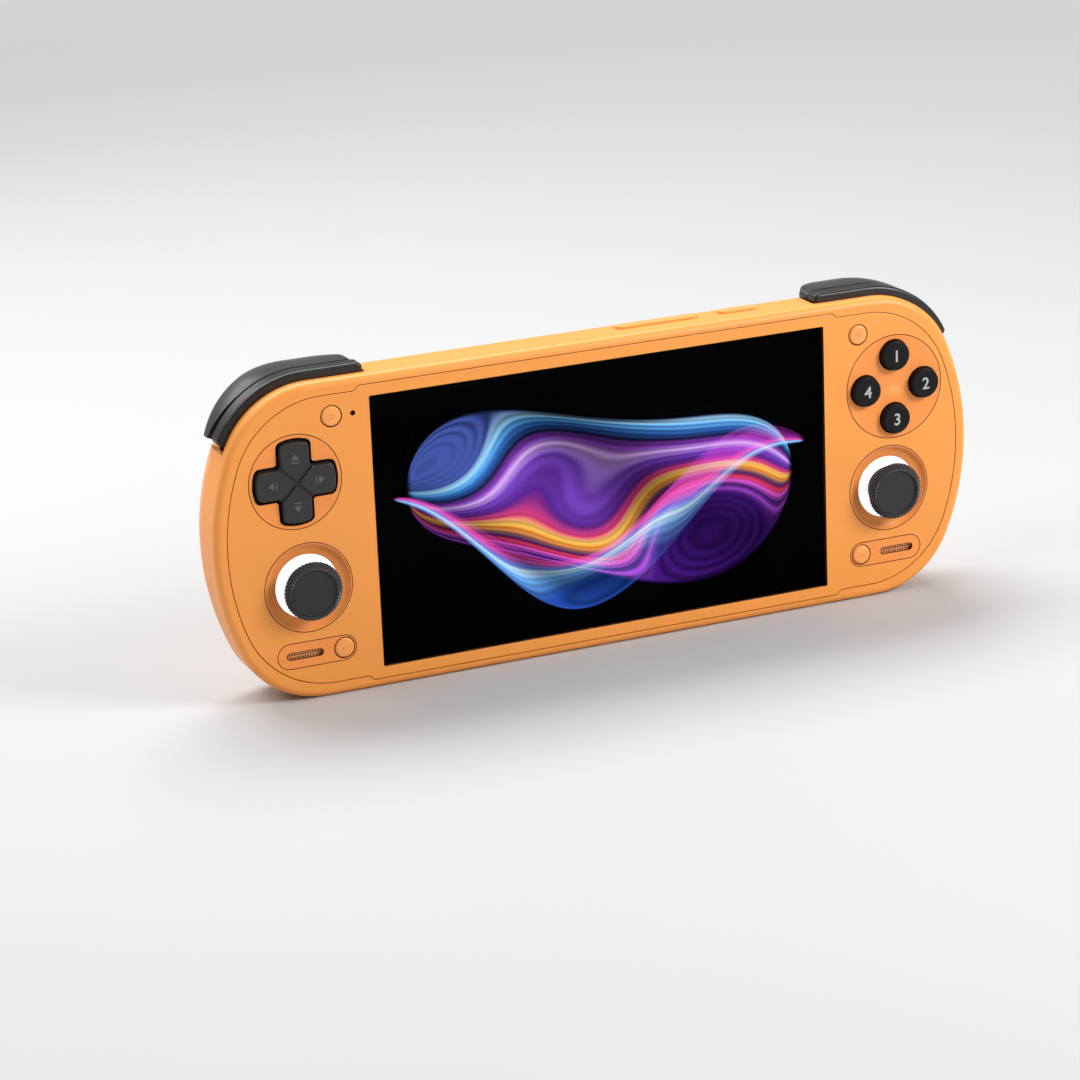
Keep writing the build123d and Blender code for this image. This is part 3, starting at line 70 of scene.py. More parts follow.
# The screen's picture: colours across its two bands, from the lower to the upper edge
BROAD_COLOURS = (
    (0.0, (0.06, 0.01, 0.22)), (0.05, (0.45, 0.08, 0.75)), (0.09, (0.03, 0.01, 0.14)), (0.13, (0.75, 0.12, 0.8)),
    (0.18, (0.85, 0.05, 0.12)), (0.24, (0.04, 0.02, 0.14)), (0.32, (1.0, 0.36, 0.04)), (0.36, (1.0, 0.62, 0.12)),
    (0.41, (0.8, 0.06, 0.2)), (0.48, (0.10, 0.02, 0.28)), (0.57, (0.22, 0.07, 0.6)), (0.64, (0.75, 0.45, 1.0)),
    (0.68, (0.28, 0.06, 0.55)), (0.76, (0.01, 0.01, 0.05)), (0.84, (0.03, 0.14, 0.5)), (0.91, (0.14, 0.5, 1.0)),
    (0.95, (0.4, 0.75, 1.0)), (1.0, (0.06, 0.1, 0.4)),
)
SLIM_COLOURS = (
    (0.0, (0.02, 0.08, 0.45)), (0.3, (0.18, 0.5, 1.0)), (0.46, (0.6, 0.85, 1.0)), (0.58, (0.1, 0.2, 0.8)),
    (0.78, (0.9, 0.08, 0.4)), (1.0, (0.3, 0.02, 0.3)),
)
NIGHT = (0.0, 0.0, 0.0)

# Prints: sizes and places of the small buttons' marks in millimetres
BAR = (1.3, 0.16)
DOT = (0.3, 0.3)
KEY_MARKS = {
    "upper_left": (BAR, ((0.0, 0.35), (0.0, -0.35))),
    "upper_right": (BAR, ((0.0, 0.5), (0.0, 0.0), (0.0, -0.5))),
    "lower_left": (DOT, ((-0.45, 0.0), (0.45, 0.0))),
    "lower_right": (DOT, ((-0.6, 0.0), (0.0, 0.0), (0.6, 0.0))),
}
MARK_CORNER = 0.45  # share of a mark's smaller side
BAR_CORNER = 0.3  # share of an arrow's bar
PRINT_CORNER_STEPS = 4
TEXT_WEIGHT = 0.012  # growth of a character's outline, as a share of its size

# Turned pieces and studs
SMOOTH_ANGLE = math.radians(35.0)
DISC_RINGS = ((0.6, 0.7), (0.05, 1.0))  # shares of the disc's radius and of its bowl
SLOPE_SHARE = 0.88  # part of the cap's slope with studs
STUD_BEVEL = 0.08  # share of a stud's half diagonal
STUD_HIGHLIGHT = 3.2  # painted highlight: how many times lighter the studs' rubber is than the cap's

# Stage: each lamp's name, place, target, size and the setting with its power
LAMPS = (
    ("key_lamp", (0.52, -0.48, 0.46), (0.03, 0.0, 0.04), (0.32, 0.32), "key_power"),
    ("fill_lamp", (-0.7, -0.12, 0.85), (0.0, 0.0, 0.04), (0.5, 0.5), "fill_power"),
    ("top_lamp", (-0.05, 0.4, 0.75), (0.0, 0.0, 0.04), (0.9, 0.35), "top_power"),
    ("rim_lamp", (-0.3, 0.49, 0.32), (-0.06, 0.0, 0.07), (0.5, 0.12), "rim_power"),
)
FLOOR_SIZE = 8.0
FLOOR_LEVEL = -0.06 * MM  # so that the part's flat edge doesn't flicker with the floor
FLOOR_NEAR, FLOOR_FAR = 0.3, 1.9  # where the floor's own glow starts and is full
FLOOR_FAR_GLOW = (0.74, 0.745, 0.75)
BACKGROUND = (0.9, 0.905, 0.91, 1.0)
WHITE = (1.0, 1.0, 1.0, 1.0)
CAMERA_PLACE = (-0.34341, -0.78799, 0.30301)
CAMERA_RIGHT = Vector((0.91697, -0.39692, -0.04023))
CAMERA_UP = Vector((0.15729, 0.26703, 0.95077))
CAMERA_BACK = Vector((-0.36663, -0.87815, 0.30729))
CAMERA_SENSOR = 36.0
CAMERA_NEAR, CAMERA_FAR = 0.01, 50.0

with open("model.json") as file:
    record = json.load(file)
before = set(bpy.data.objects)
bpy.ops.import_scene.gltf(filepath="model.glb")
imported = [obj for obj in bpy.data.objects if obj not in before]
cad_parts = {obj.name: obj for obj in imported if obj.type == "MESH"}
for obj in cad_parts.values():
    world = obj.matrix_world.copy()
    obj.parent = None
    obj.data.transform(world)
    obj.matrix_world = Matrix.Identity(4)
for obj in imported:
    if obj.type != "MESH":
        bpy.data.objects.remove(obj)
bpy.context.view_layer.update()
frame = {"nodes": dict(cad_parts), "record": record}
nodes = frame["nodes"]


def middle(node):
    """Middle of a CAD node's box."""
    low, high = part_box(node)
    return (low + high) / 2


def front(node):
    """Place of a CAD node's frontmost point along Y."""
    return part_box(node)[0].y


class Value:
    """A node socket that takes part in sums: each operator adds its Math node."""

    def __init__(self, finish, socket):
        self.finish = finish
        self.socket = socket

    def math(self, operation, *values):
        return self.finish.node("ShaderNodeMath", {"operation": operation}, dict(enumerate(values)))

    def __add__(self, other):
        return self.math("ADD", self, other)

    def __radd__(self, other):
        return self.math("ADD", other, self)

    def __sub__(self, other):
        return self.math("SUBTRACT", self, other)

    def __rsub__(self, other):
        return self.math("SUBTRACT", other, self)

    def __mul__(self, other):
        return self.math("MULTIPLY", self, other)

    def __rmul__(self, other):
        return self.math("MULTIPLY", other, self)

    def __truediv__(self, other):
        return self.math("DIVIDE", self, other)

    def __pow__(self, other):
        return self.math("POWER", self, other)

    def __abs__(self):
        return self.math("ABSOLUTE", self)

    def __lt__(self, other):
        return self.math("LESS_THAN", self, other)

    def sine(self):
        return self.math("SINE", self)

    def least(self, other):
        return self.math("MINIMUM", self, other)

    def most(self, other):
        return self.math("MAXIMUM", self, other)


class Finish:
    """One material with a Principled shader, and the nodes that feed it."""

    def __init__(self, name, constants):
        self.material = bpy.data.materials.new(name)
        self.material.use_nodes = True
        self.tree = self.material.node_tree
        self.tree.nodes.clear()
        output = self.tree.nodes.new("ShaderNodeOutputMaterial")
        self.shader = self.tree.nodes.new("ShaderNodeBsdfPrincipled")
        self.tree.links.new(self.shader.outputs[0], output.inputs["Surface"])
        for socket, value in constants.items():
            self.shader.inputs[socket].default_value = value
        self.place = self.node("ShaderNodeTexCoord", {}, {}, "Object")
        self.facing = self.node("ShaderNodeTexCoord", {}, {}, "Normal")

    def put(self, socket, value):
        """Give a socket a link, a number, a vector or a colour."""
        if isinstance(value, Value):
            self.tree.links.new(value.socket, socket)
        elif isinstance(value, tuple) and socket.type == "RGBA":
            socket.default_value = (*value, 1.0)
        else:
            socket.default_value = value

    def node(self, kind, settings, inputs, output=0):
        """Add any node: its type, its settings, then its sockets' values or links."""
        made = self.tree.nodes.new(kind)
        for name, value in settings.items():
            if name == "stops":
                ramp = made.color_ramp
                while len(ramp.elements) < len(value):
                    ramp.elements.new(0.5)
                for stop, (place, colour) in zip(ramp.elements, value):
                    stop.position = place
                    stop.color = (*colour, 1.0)
            else:
                setattr(made, name, value)
        for name, value in inputs.items():
            self.put(made.inputs[name], value)
        return Value(self, made.outputs[output])

    def feed(self, name, value):
        """Feed one socket of the Principled shader."""
        self.put(self.shader.inputs[name], value)

    def noise(self, scale, detail=2.0, roughness=0.5, where=None):
        """Noise from 0 to 1, its scale in bumps per metre."""
        inputs = {"Vector": where or self.place, "Scale": scale, "Detail": detail, "Roughness": roughness}
        return self.node("ShaderNodeTexNoise", {}, inputs, "Fac")

    def axis(self, name, vector=None):
        """One coordinate of the place in metres, or of another vector."""
        return self.node("ShaderNodeSeparateXYZ", {}, {0: vector or self.place}, name)

    def ramp(self, value, stops):
        """Colour ramp over a value."""
        return self.node("ShaderNodeValToRGB", {"stops": stops}, {0: value}, "Color")

    def blend(self, amount, first, second, how="MIX"):
        """Mix of two colours."""
        settings = {"data_type": "RGBA", "blend_type": how}
        return self.node("ShaderNodeMix", settings, {0: amount, 6: first, 7: second}, 2)

    def between(self, value, low, high, start=0.0, end=1.0):
        """A value brought smoothly from one range to another."""
        settings = {"interpolation_type": "SMOOTHSTEP"}
        return self.node("ShaderNodeMapRange", settings, {0: value, 1: low, 2: high, 3: start, 4: end})

    def bump(self, height, strength, distance):
        """Bump from a height, its depth in metres."""
        inputs = {"Strength": strength, "Distance": distance, "Height": height}
        self.feed("Normal", self.node("ShaderNodeBump", {}, inputs))


def joint_line(finish):
    """1 on the fine joints round the face's inserts, 0 a little way off: the mask of the painted shade lines along
    them.
    """
    nearest = None
    for piece in INSERTS:
        low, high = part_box(piece)
        mid = (low + high) / 2
        radius = (high.z - low.z) / 2
        straight = (high.x - low.x) / 2 - radius
        along = (abs(finish.axis("X") - mid.x) - straight).most(0.0)
        rise = finish.axis("Z") - mid.z
        off = abs((along * along + rise * rise) ** 0.5 - (radius + JOINT_GAP / 2))
        nearest = off if nearest is None else nearest.least(off)
    return finish.between(nearest, JOINT_GAP / 2, JOINT_GAP / 2 + JOINT_SPREAD, 1.0, 0.0)


def groove_line(finish):
    """1 on the floor of the direction pad's two crossed grooves, 0 beside them: the mask of the painted shade on the
    grooves' floors.
    """
    mid = middle("direction_pad")
    across = finish.axis("X") - mid.x
    rise = finish.axis("Z") - mid.z
    off = abs(abs(across) - abs(rise)) / 2.0 ** 0.5
    inside = (across * across + rise * rise) ** 0.5 < GROOVE_REACH
    return inside * finish.between(off, GROOVE_FLOOR, GROOVE_EDGE, 1.0, 0.0)


def moulded(name, colour, rough, grain, shade=0.05, level=0.5, joint_shade=None, steep=0.12, shade_lines=None):
    """Moulded plastic: fine grain, soft drift of colour and roughness, faint rubbed patches.

    With a colour for painted shade, the walls of joints, grooves and openings that face the front less than the share
    steep take it as painted shade, and so do the painted shade lines that the given function marks.
    """
    finish = Finish(name, {"IOR": 1.5, "Specular IOR Level": level})
    drift = finish.noise(DRIFT_SCALE, 3.0)
    speckle = finish.noise(SPECKLE_SCALE, 2.0)
    rubbed = finish.between(finish.noise(RUBBED_SCALE, 4.0, 0.62), 0.56, 0.78)
    darker = tuple(c * (1.0 - shade) for c in colour)
    lighter = tuple(min(1.0, c * (1.0 + shade)) for c in colour)
    tint = finish.blend(drift, darker, lighter)
    tint = finish.blend(speckle * (shade * 1.5), tint, lighter)
    # painted shade: walls that face the front less than steep take the dark colour
    if joint_shade:
        upright_shade = abs(finish.axis("Y", finish.facing)) < steep
        tint = finish.blend(upright_shade, tint, joint_shade)
    # painted shade lines beside the joints and on the grooves' floors
    if shade_lines:
        tint = finish.blend(SHADE_LINE_STRENGTH * shade_lines(finish), tint, joint_shade)
    finish.feed("Base Color", tint)
    finish.feed("Roughness", rough + 0.06 * (drift - 0.5) - 0.07 * rubbed + 0.05 * (speckle - 0.5))
    finish.bump(speckle + 0.35 * finish.noise(GRAIN_SCALE, 2.0), grain, MOULDED_BUMP)
    return finish.material


def light_finish(glow):
    """The thumbsticks' milky light rings."""
    light = Finish("white_light", {"IOR": 1.46, "Emission Strength": glow, "Subsurface Weight": 0.0})
    cloud = light.noise(420.0, 2.0)
    light.feed("Base Color", light.blend(cloud, (0.86, 0.87, 0.88), (0.93, 0.93, 0.93)))
    light.feed("Emission Color", light.blend(cloud, (0.96, 0.97, 1.0), (1.0, 1.0, 1.0)))
    light.feed("Roughness", 0.35 + 0.1 * cloud)
    light.bump(cloud, 0.1, POLISHED_BUMP)
    return light.material


def glass_finish():
    """Clear cover glass with faint smears."""
    glass = Finish("cover_glass", {"IOR": 1.04, "Transmission Weight": 1.0, "Specular IOR Level": 0.1})
    smear = glass.between(glass.noise(60.0, 3.0, 0.6), 0.5, 0.8)
    glass.feed("Base Color", glass.blend(smear, (0.985, 0.985, 0.99), (0.965, 0.965, 0.97)))
    glass.feed("Roughness", 0.015 + 0.02 * smear)
    glass.bump(glass.noise(30.0, 1.0), 0.02, POLISHED_BUMP)
    return glass.material


def metal_finish(name, colour, rough):
    """Metal brushed along Z, with soft stains."""
    metal = Finish(name, {"Metallic": 1.0})
    where = metal.node("ShaderNodeMapping", {}, {"Vector": metal.place, "Scale": (1.0, 1.0, 14.0)})
    brushed = metal.noise(900.0, 3.0, 0.6, where)
    stain = metal.noise(70.0, 3.0)
    dull = tuple(c * 0.8 for c in colour)
    metal.feed("Base Color", metal.blend(stain, dull, colour))
    metal.feed("Roughness", rough + 0.14 * (brushed - 0.5) + 0.1 * (stain - 0.5))
    metal.bump(brushed, 0.15, MOULDED_BUMP)
    return metal.material


def board_finish():
    """Green solder mask with tracks under it and gilt pads."""
    board = Finish("circuit_board", {"IOR": 1.5, "Coat Weight": 0.3, "Coat Roughness": 0.15})
    cells = {"Vector": board.place, "Scale": 320.0}
    tracks = board.node("ShaderNodeTexVoronoi", {"feature": "DISTANCE_TO_EDGE", "distance": "MANHATTAN"}, cells)
    line = 1.0 - board.between(tracks, 0.05, 0.09)
    pads = board.node("ShaderNodeTexVoronoi", {}, {"Vector": board.place, "Scale": 520.0})
    pad = 1.0 - board.between(pads, 0.16, 0.2)
    mask = board.noise(80.0, 2.0)
    ground = board.blend(mask, (0.006, 0.075, 0.035), (0.01, 0.11, 0.05))
    ground = board.blend(line * 0.5, ground, (0.02, 0.2, 0.09))
    board.feed("Base Color", board.blend(pad, ground, (0.72, 0.56, 0.25)))
    board.feed("Metallic", pad)
    board.feed("Roughness", 0.42 - 0.1 * line + 0.05 * mask)
    board.bump(line + pad, 0.25, BOARD_BUMP)
    return board.material


def lit_band(screen, across, up, colours, level, swing, waves, start, width, swell, threads, reach):
    """One folded band of threads over the dark screen, all its sizes in half widths of the screen.

    Its middle swings round a level in waves, its width swells, and its ends taper to a reach.
    """
    sway = screen.noise(16.0, 1.0, 0.4) - 0.5
    drift = screen.noise(9.0, 1.0, 0.3) - 0.5
    centre = level + swing * (waves * across + start + 1.8 * drift).sine()
    tip = (1.0 - (across / reach) * (across / reach)).most(0.0001) ** 0.5
    spread = width * tip * (1.0 + swell * (2.6 * across + 1.4 * start).sine())
    t = (up - centre) / spread
    inner = (1.0 - t * t).most(0.0)
    curl = (3.3 * across + 1.9 * up + start + 3.4 * sway).sine()
    fold = t + inner * (0.85 * curl + 0.35 * (6.1 * across - 4.0 * up + 2.0 * start).sine())
    thread = 0.5 + 0.5 * (threads * fold + 14.0 * sway).sine()
    streak = 1.0 - 0.7 * (1.0 - 0.6 * inner) * thread
    glow = 0.35 + 0.95 * (0.5 + 0.5 * (4.4 * across + 2.2 * t + start + 4.0 * drift).sine())
    body = screen.between(abs(t), 0.93, 1.0, 1.0, 0.0)
    inside = screen.between(abs(across), reach - 0.03, reach, 1.0, 0.0)
    lit = (body * inside * streak * glow).least(1.0)
    return screen.blend(lit, NIGHT, screen.ramp(0.5 + 0.5 * fold, colours))


def display_finish():
    """The lit picture: one broad folded band of coloured threads, and a thin one that crosses it."""
    screen = Finish("display", {"IOR": 1.45, "Emission Strength": 1.0, "Specular IOR Level": 0.0})
    low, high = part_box("display_panel")
    half = (high.x - low.x) / 2
    across = (screen.axis("X") - (low.x + high.x) / 2) / half
    up = (screen.axis("Z") - (low.z + high.z) / 2) / half
    broad = lit_band(
        screen, across, up, BROAD_COLOURS, level=0.03, swing=0.12, waves=2.7, start=3.6, width=0.42, swell=0.22,
        threads=64.0, reach=0.84,
    )
    slim = lit_band(
        screen, across, up, SLIM_COLOURS, level=-0.12, swing=0.24, waves=3.6, start=5.2, width=0.085, swell=0.5,
        threads=26.0, reach=0.9,
    )
    screen.feed("Base Color", (0.0004, 0.0004, 0.0005))
    screen.feed("Emission Color", screen.blend(1.0, broad, slim, "SCREEN"))
    screen.feed("Roughness", 0.35 + 0.1 * screen.noise(200.0))
    return screen.material


FINISHES = {}


def make_finishes(looks):
    """Make every finish of the console, kept by name; the record's slots are among the names."""
    shell = tuple(looks.shell_colour)
    insert = tuple(looks.insert_colour)
    black = tuple(looks.black_colour)
    key_black = tuple(looks.key_black)
    rubber = tuple(looks.rubber_colour)
    # painted highlight: the studs' rubber painted lighter than the cap's
    highlit_rubber = tuple(c * STUD_HIGHLIGHT for c in looks.rubber_colour)
    # painted shade on the joint walls and on the lines round the inserts
    shaded_joints = {"joint_shade": JOINT_SHADE_ORANGE, "shade_lines": joint_line}
    for name, colour, rough, grain, more in (
        ("orange_shell", shell, 0.42, 0.22, {}),
        ("orange_face", shell, 0.42, 0.22, {"steep": 0.7, **shaded_joints}),
        ("orange_insert", insert, 0.48, 0.2, {"level": 0.3, "steep": 0.6, **shaded_joints}),
        ("orange_bezel", insert, 0.4, 0.2, {"level": 0.4, **shaded_joints}),
        ("orange_keys", tuple(looks.key_colour), 0.36, 0.15, {}),
        ("black_plastic", black, 0.46, 0.25, {"shade": 0.12}),
        # painted shade on the walls and floors of the pad's grooves
        ("pad_black", black, 0.46, 0.25, {"shade": 0.12, "joint_shade": JOINT_SHADE_BLACK, "shade_lines": groove_line}),
        ("strip_black", key_black, 0.34, 0.15, {"shade": 0.12}),
        ("key_black", key_black, 0.46, 0.2, {"shade": 0.12, "level": 0.13}),
        ("grey_plastic", tuple(looks.trigger_colour), 0.3, 0.12, {"shade": 0.08}),
        ("black_rubber", rubber, 0.62, 0.5, {"shade": 0.12}),
        # painted highlight on the knurl's studs
        ("worn_rubber", highlit_rubber, 0.42, 0.3, {"shade": 0.2}),
        # painted shade on the walls of the speaker mesh's holes
        ("mesh_lacquer", tuple(looks.mesh_colour), 0.45, 0.15, {"shade": 0.12, "joint_shade": JOINT_SHADE_BLACK, "steep": 0.6}),
        ("pale_print", tuple(looks.numeral_colour), 0.5, 0.1, {}),
        ("dark_print", tuple(looks.arrow_colour), 0.5, 0.1, {}),
        ("key_print", tuple(looks.mark_colour), 0.5, 0.1, {}),
        ("stick_works", (0.05, 0.05, 0.055), 0.34, 0.2, {"shade": 0.12}),
        ("battery_wrap", (0.05, 0.055, 0.065), 0.33, 0.2, {"shade": 0.1}),
    ):
        FINISHES[name] = moulded(name, colour, rough, grain, **more)
    FINISHES["white_light"] = light_finish(looks.ring_glow)
    FINISHES["cover_glass"] = glass_finish()
    FINISHES["display"] = display_finish()
    FINISHES["steel"] = metal_finish("steel", (0.56, 0.56, 0.58), 0.3)
    FINISHES["aluminium"] = metal_finish("aluminium", (0.72, 0.73, 0.75), 0.34)
    FINISHES["circuit_board"] = board_finish()


def paint(piece, name):
    """Give a piece one finish, by its name, in place of any other."""
    piece.data.materials.clear()
    piece.data.materials.append(FINISHES[name])


class ConsoleLooks(bpy.types.PropertyGroup):
    """Colours of the console."""

    shell_colour: FloatVectorProperty(
        name="Shell", description="Shell and faceplate plastic", subtype="COLOR", default=(0.91, 0.328, 0.056)
    )
    insert_colour: FloatVectorProperty(
        name="Inserts", description="Dishes, bezels and speaker covers", subtype="COLOR", default=(0.91, 0.3, 0.068)
    )
    key_colour: FloatVectorProperty(
        name="Keys", description="Small round buttons and edge keys", subtype="COLOR", default=(0.98, 0.36, 0.085)
    )
    black_colour: FloatVectorProperty(
        name="Black plastic", description="Direction pad and inner black parts", subtype="COLOR",
        default=(0.015, 0.015, 0.0155),
    )
    key_black: FloatVectorProperty(
        name="Key black", description="Face buttons and shoulder buttons", subtype="COLOR",
        default=(0.008, 0.008, 0.0084),
    )
    trigger_colour: FloatVectorProperty(
        name="Triggers", description="Trigger plastic", subtype="COLOR", default=(0.026, 0.026, 0.027)
    )
    rubber_colour: FloatVectorProperty(
        name="Rubber", description="Stick caps and membranes", subtype="COLOR", default=(0.013, 0.013, 0.0135)
    )
    mesh_colour: FloatVectorProperty(
        name="Speaker mesh", description="Lacquer of the speaker meshes", subtype="COLOR", default=(0.86, 0.33, 0.11)
    )
    numeral_colour: FloatVectorProperty(
        name="Numerals", description="Print on the face buttons", subtype="COLOR", default=(0.45, 0.45, 0.45)
    )
    arrow_colour: FloatVectorProperty(
        name="Arrows", description="Print on the direction pad", subtype="COLOR", default=(0.085, 0.085, 0.085)
    )
    mark_colour: FloatVectorProperty(
        name="Key marks", description="Faint marks on the small buttons", subtype="COLOR", default=(0.62, 0.20, 0.045)
    )
    ring_glow: FloatProperty(
        name="Ring glow", description="Emission strength of the light rings", default=0.75, min=0.0
    )


class ConsolePrints(bpy.types.PropertyGroup):
    """Sizes of the prints."""

    thickness: FloatProperty(name="Thickness", description="Thickness of a print", default=0.05 * MM, unit="LENGTH")
    sink: FloatProperty(name="Sink", description="Depth of a print in its key", default=0.03 * MM, unit="LENGTH")
    numeral_size: FloatProperty(name="Numeral", description="Size of a numeral", default=4.3 * MM, unit="LENGTH")
    arrow_width: FloatProperty(name="Arrow width", description="Width of an arrow", default=2.0 * MM, unit="LENGTH")
    arrow_height: FloatProperty(
        name="Arrow height", description="Height of an arrow", default=1.5 * MM, unit="LENGTH"
    )
    arrow_corner: FloatProperty(
        name="Arrow corner", description="Corner of an arrow", default=0.2 * MM, unit="LENGTH"
    )
    arrow_reach: FloatProperty(
        name="Arrow place", description="From the pad's middle", default=6.2 * MM, unit="LENGTH"
    )
    bar_width: FloatProperty(name="Bar", description="Width of an arrow's bar", default=0.32 * MM, unit="LENGTH")
    bar_reach: FloatProperty(name="Bar place", description="From the pad's middle", default=5.0 * MM, unit="LENGTH")


class ConsoleCaps(bpy.types.PropertyGroup):
    """Sizes of the thumb caps, depths from their front."""

    stem_radius: FloatProperty(name="Stem", description="Radius of the stem", default=2.3 * MM, unit="LENGTH")
    foot_radius: FloatProperty(name="Foot", description="Radius of the head's back", default=6.2 * MM, unit="LENGTH")
    foot_depth: FloatProperty(
        name="Foot depth", description="Depth of the head's back", default=2.9 * MM, unit="LENGTH"
    )
    side_back: FloatProperty(name="Side's back", description="Where the side ends", default=2.0 * MM, unit="LENGTH")
    side_front: FloatProperty(
        name="Side's front", description="Where the slope starts", default=1.2 * MM, unit="LENGTH"
    )
    lip_radius: FloatProperty(name="Lip", description="Outer radius of the lip", default=5.85 * MM, unit="LENGTH")
    lip_round: FloatProperty(
        name="Lip round", description="Rounding of the lip's edges", default=0.1 * MM, unit="LENGTH"
    )
    disc_radius: FloatProperty(name="Disc", description="Radius of the sunken disc", default=5.4 * MM, unit="LENGTH")
    disc_depth: FloatProperty(
        name="Disc depth", description="Depth of the disc's edge", default=0.42 * MM, unit="LENGTH"
    )
    disc_bowl: FloatProperty(
        name="Disc bowl", description="Fall to the disc's middle", default=0.13 * MM, unit="LENGTH"
    )
    steps: IntProperty(name="Steps", description="Sides round the cap", default=96, min=12)


class ConsoleKeys(bpy.types.PropertyGroup):
    """Sizes of the small round buttons, depths from their front."""

    radius: FloatProperty(name="Radius", description="Radius of a button", default=2.5 * MM, unit="LENGTH")
    edge: FloatProperty(name="Edge", description="Rounding of a button's edge", default=0.6 * MM, unit="LENGTH")
    dome: FloatProperty(name="Dome", description="Rise of a button's middle", default=0.08 * MM, unit="LENGTH")
    flange: FloatProperty(name="Flange", description="Thickness of the flange", default=0.65 * MM, unit="LENGTH")
    rings: IntProperty(name="Rings", description="Rings over the edge and the dome", default=6, min=2)
    steps: IntProperty(name="Steps", description="Sides round a button", default=64, min=12)


class ConsoleKnurl(bpy.types.PropertyGroup):
    """Sizes of the thumb caps' studs."""

    stud: FloatProperty(name="Stud", description="Half diagonal of a stud", default=0.42 * MM, unit="LENGTH")
    height: FloatProperty(name="Height", description="Height of a stud", default=0.3 * MM, unit="LENGTH")
    sink: FloatProperty(name="Sink", description="Depth of a stud in the cap", default=0.05 * MM, unit="LENGTH")
    tip_share: FloatProperty(name="Tip", description="Share of the stud's width at its tip", default=0.25, min=0.0)
    lip_radius: FloatProperty(name="Lip", description="Radius where the slope ends", default=5.95 * MM, unit="LENGTH")
    slope_depth: FloatProperty(name="Slope", description="Depth of the slope", default=1.2 * MM, unit="LENGTH")
    slope_rows: IntProperty(name="Slope rows", description="Rows of studs on the slope", default=4, min=1)
    side_rows: IntProperty(name="Side rows", description="Rows of studs on the side", default=2, min=0)
    side_pitch: FloatProperty(
        name="Side pitch", description="Between the side's rows", default=0.4 * MM, unit="LENGTH"
    )
    columns: IntProperty(name="Columns", description="Studs in a row", default=48, min=3)


class ConsoleStage(bpy.types.PropertyGroup):
    """Camera, lamps and floor."""

    lens: FloatProperty(
        name="Lens", description="Focal length on a 36 mm sensor", default=120.18, subtype="DISTANCE_CAMERA"
    )
    key_power: FloatProperty(name="Key lamp", description="Power of the key lamp", default=5.5, unit="POWER")
    fill_power: FloatProperty(name="Fill lamp", description="Power of the fill lamp", default=3.2, unit="POWER")
    top_power: FloatProperty(name="Top lamp", description="Power of the top lamp", default=8.0, unit="POWER")
    rim_power: FloatProperty(name="Rim lamp", description="Power of the rim lamp", default=0.5, unit="POWER")
    world_level: FloatProperty(name="World", description="Level of the even light", default=0.3, min=0.0)
    floor_colour: FloatVectorProperty(
        name="Floor", description="Floor and background", subtype="COLOR", default=(0.52, 0.525, 0.53)
    )


def add_lamp(name, place, target, size, power):
    """Area lamp that faces a target."""
    data = bpy.data.lights.new(name, "AREA")
    data.shape = "RECTANGLE"
    data.size, data.size_y = size
    data.energy = power
    made = bpy.data.objects.new(name, data)
    made.location = place
    made.rotation_mode = "QUATERNION"
    made.rotation_quaternion = (Vector(target) - Vector(place)).to_track_quat("-Z", "Y")
    bpy.context.scene.collection.objects.link(made)


def add_floor(colour):
    """Plain pale floor, a little below the part, that grows lighter far behind it."""
    bpy.ops.object.select_all(action="DESELECT")
    bpy.ops.mesh.primitive_plane_add(size=FLOOR_SIZE, location=(0.0, 0.0, FLOOR_LEVEL))
    floor = bpy.context.active_object
    floor.name = "floor"
    ground = Finish("floor", {"IOR": 1.45, "Emission Strength": 1.0})
    ground.feed("Base Color", colour)
    ground.feed("Roughness", 0.7 + 0.08 * ground.noise(30.0, 3.0))
    far = (ground.axis("X") ** 2.0 + ground.axis("Y") ** 2.0) ** 0.5
    lift = ground.between(far, FLOOR_NEAR, FLOOR_FAR)
    ground.feed("Emission Color", ground.blend(lift, (0.0, 0.0, 0.0), FLOOR_FAR_GLOW))
    floor.data.materials.append(ground.material)


def add_world(scene, level):
    """Even light of a level; the camera sees a pale background instead."""
    world = bpy.data.worlds.new("studio")
    scene.world = world
    world.use_nodes = True
    tree = world.node_tree
    tree.nodes.clear()
    out = tree.nodes.new("ShaderNodeOutputWorld")
    path = tree.nodes.new("ShaderNodeLightPath")
    mix = tree.nodes.new("ShaderNodeMixShader")
    tree.links.new(path.outputs["Is Camera Ray"], mix.inputs[0])
    for socket, colour, strength in ((1, WHITE, level), (2, BACKGROUND, 1.0)):
        shade = tree.nodes.new("ShaderNodeBackground")
        shade.inputs["Color"].default_value = colour
        shade.inputs["Strength"].default_value = strength
        tree.links.new(shade.outputs[0], mix.inputs[socket])
    tree.links.new(mix.outputs[0], out.inputs["Surface"])


def add_camera(scene, lens):
    """Camera that sees the part as the photograph does."""
    data = bpy.data.cameras.new("camera")
    data.sensor_width = CAMERA_SENSOR
    data.lens = lens
    data.clip_start = CAMERA_NEAR
    data.clip_end = CAMERA_FAR
    camera = bpy.data.objects.new("camera", data)
    turn = Matrix((CAMERA_RIGHT, CAMERA_UP, CAMERA_BACK)).transposed()
    camera.rotation_mode = "QUATERNION"
    camera.rotation_quaternion = turn.to_quaternion()
    camera.location = CAMERA_PLACE
    scene.collection.objects.link(camera)
    scene.camera = camera


class CONSOLE_OT_stage(bpy.types.Operator):
    """Make the floor, the even light, the lamps and the camera"""

    bl_idname = "console.stage"
    bl_label = "Stage"

    def execute(self, context):
        scene = context.scene
        stage = scene.console_stage
        add_floor(tuple(stage.floor_colour))
        add_world(scene, stage.world_level)
        for name, place, target, size, power in LAMPS:
            add_lamp(name, place, target, size, getattr(stage, power))
        add_camera(scene, stage.lens)
        scene.view_settings.view_transform = "Standard"
        return {"FINISHED"}


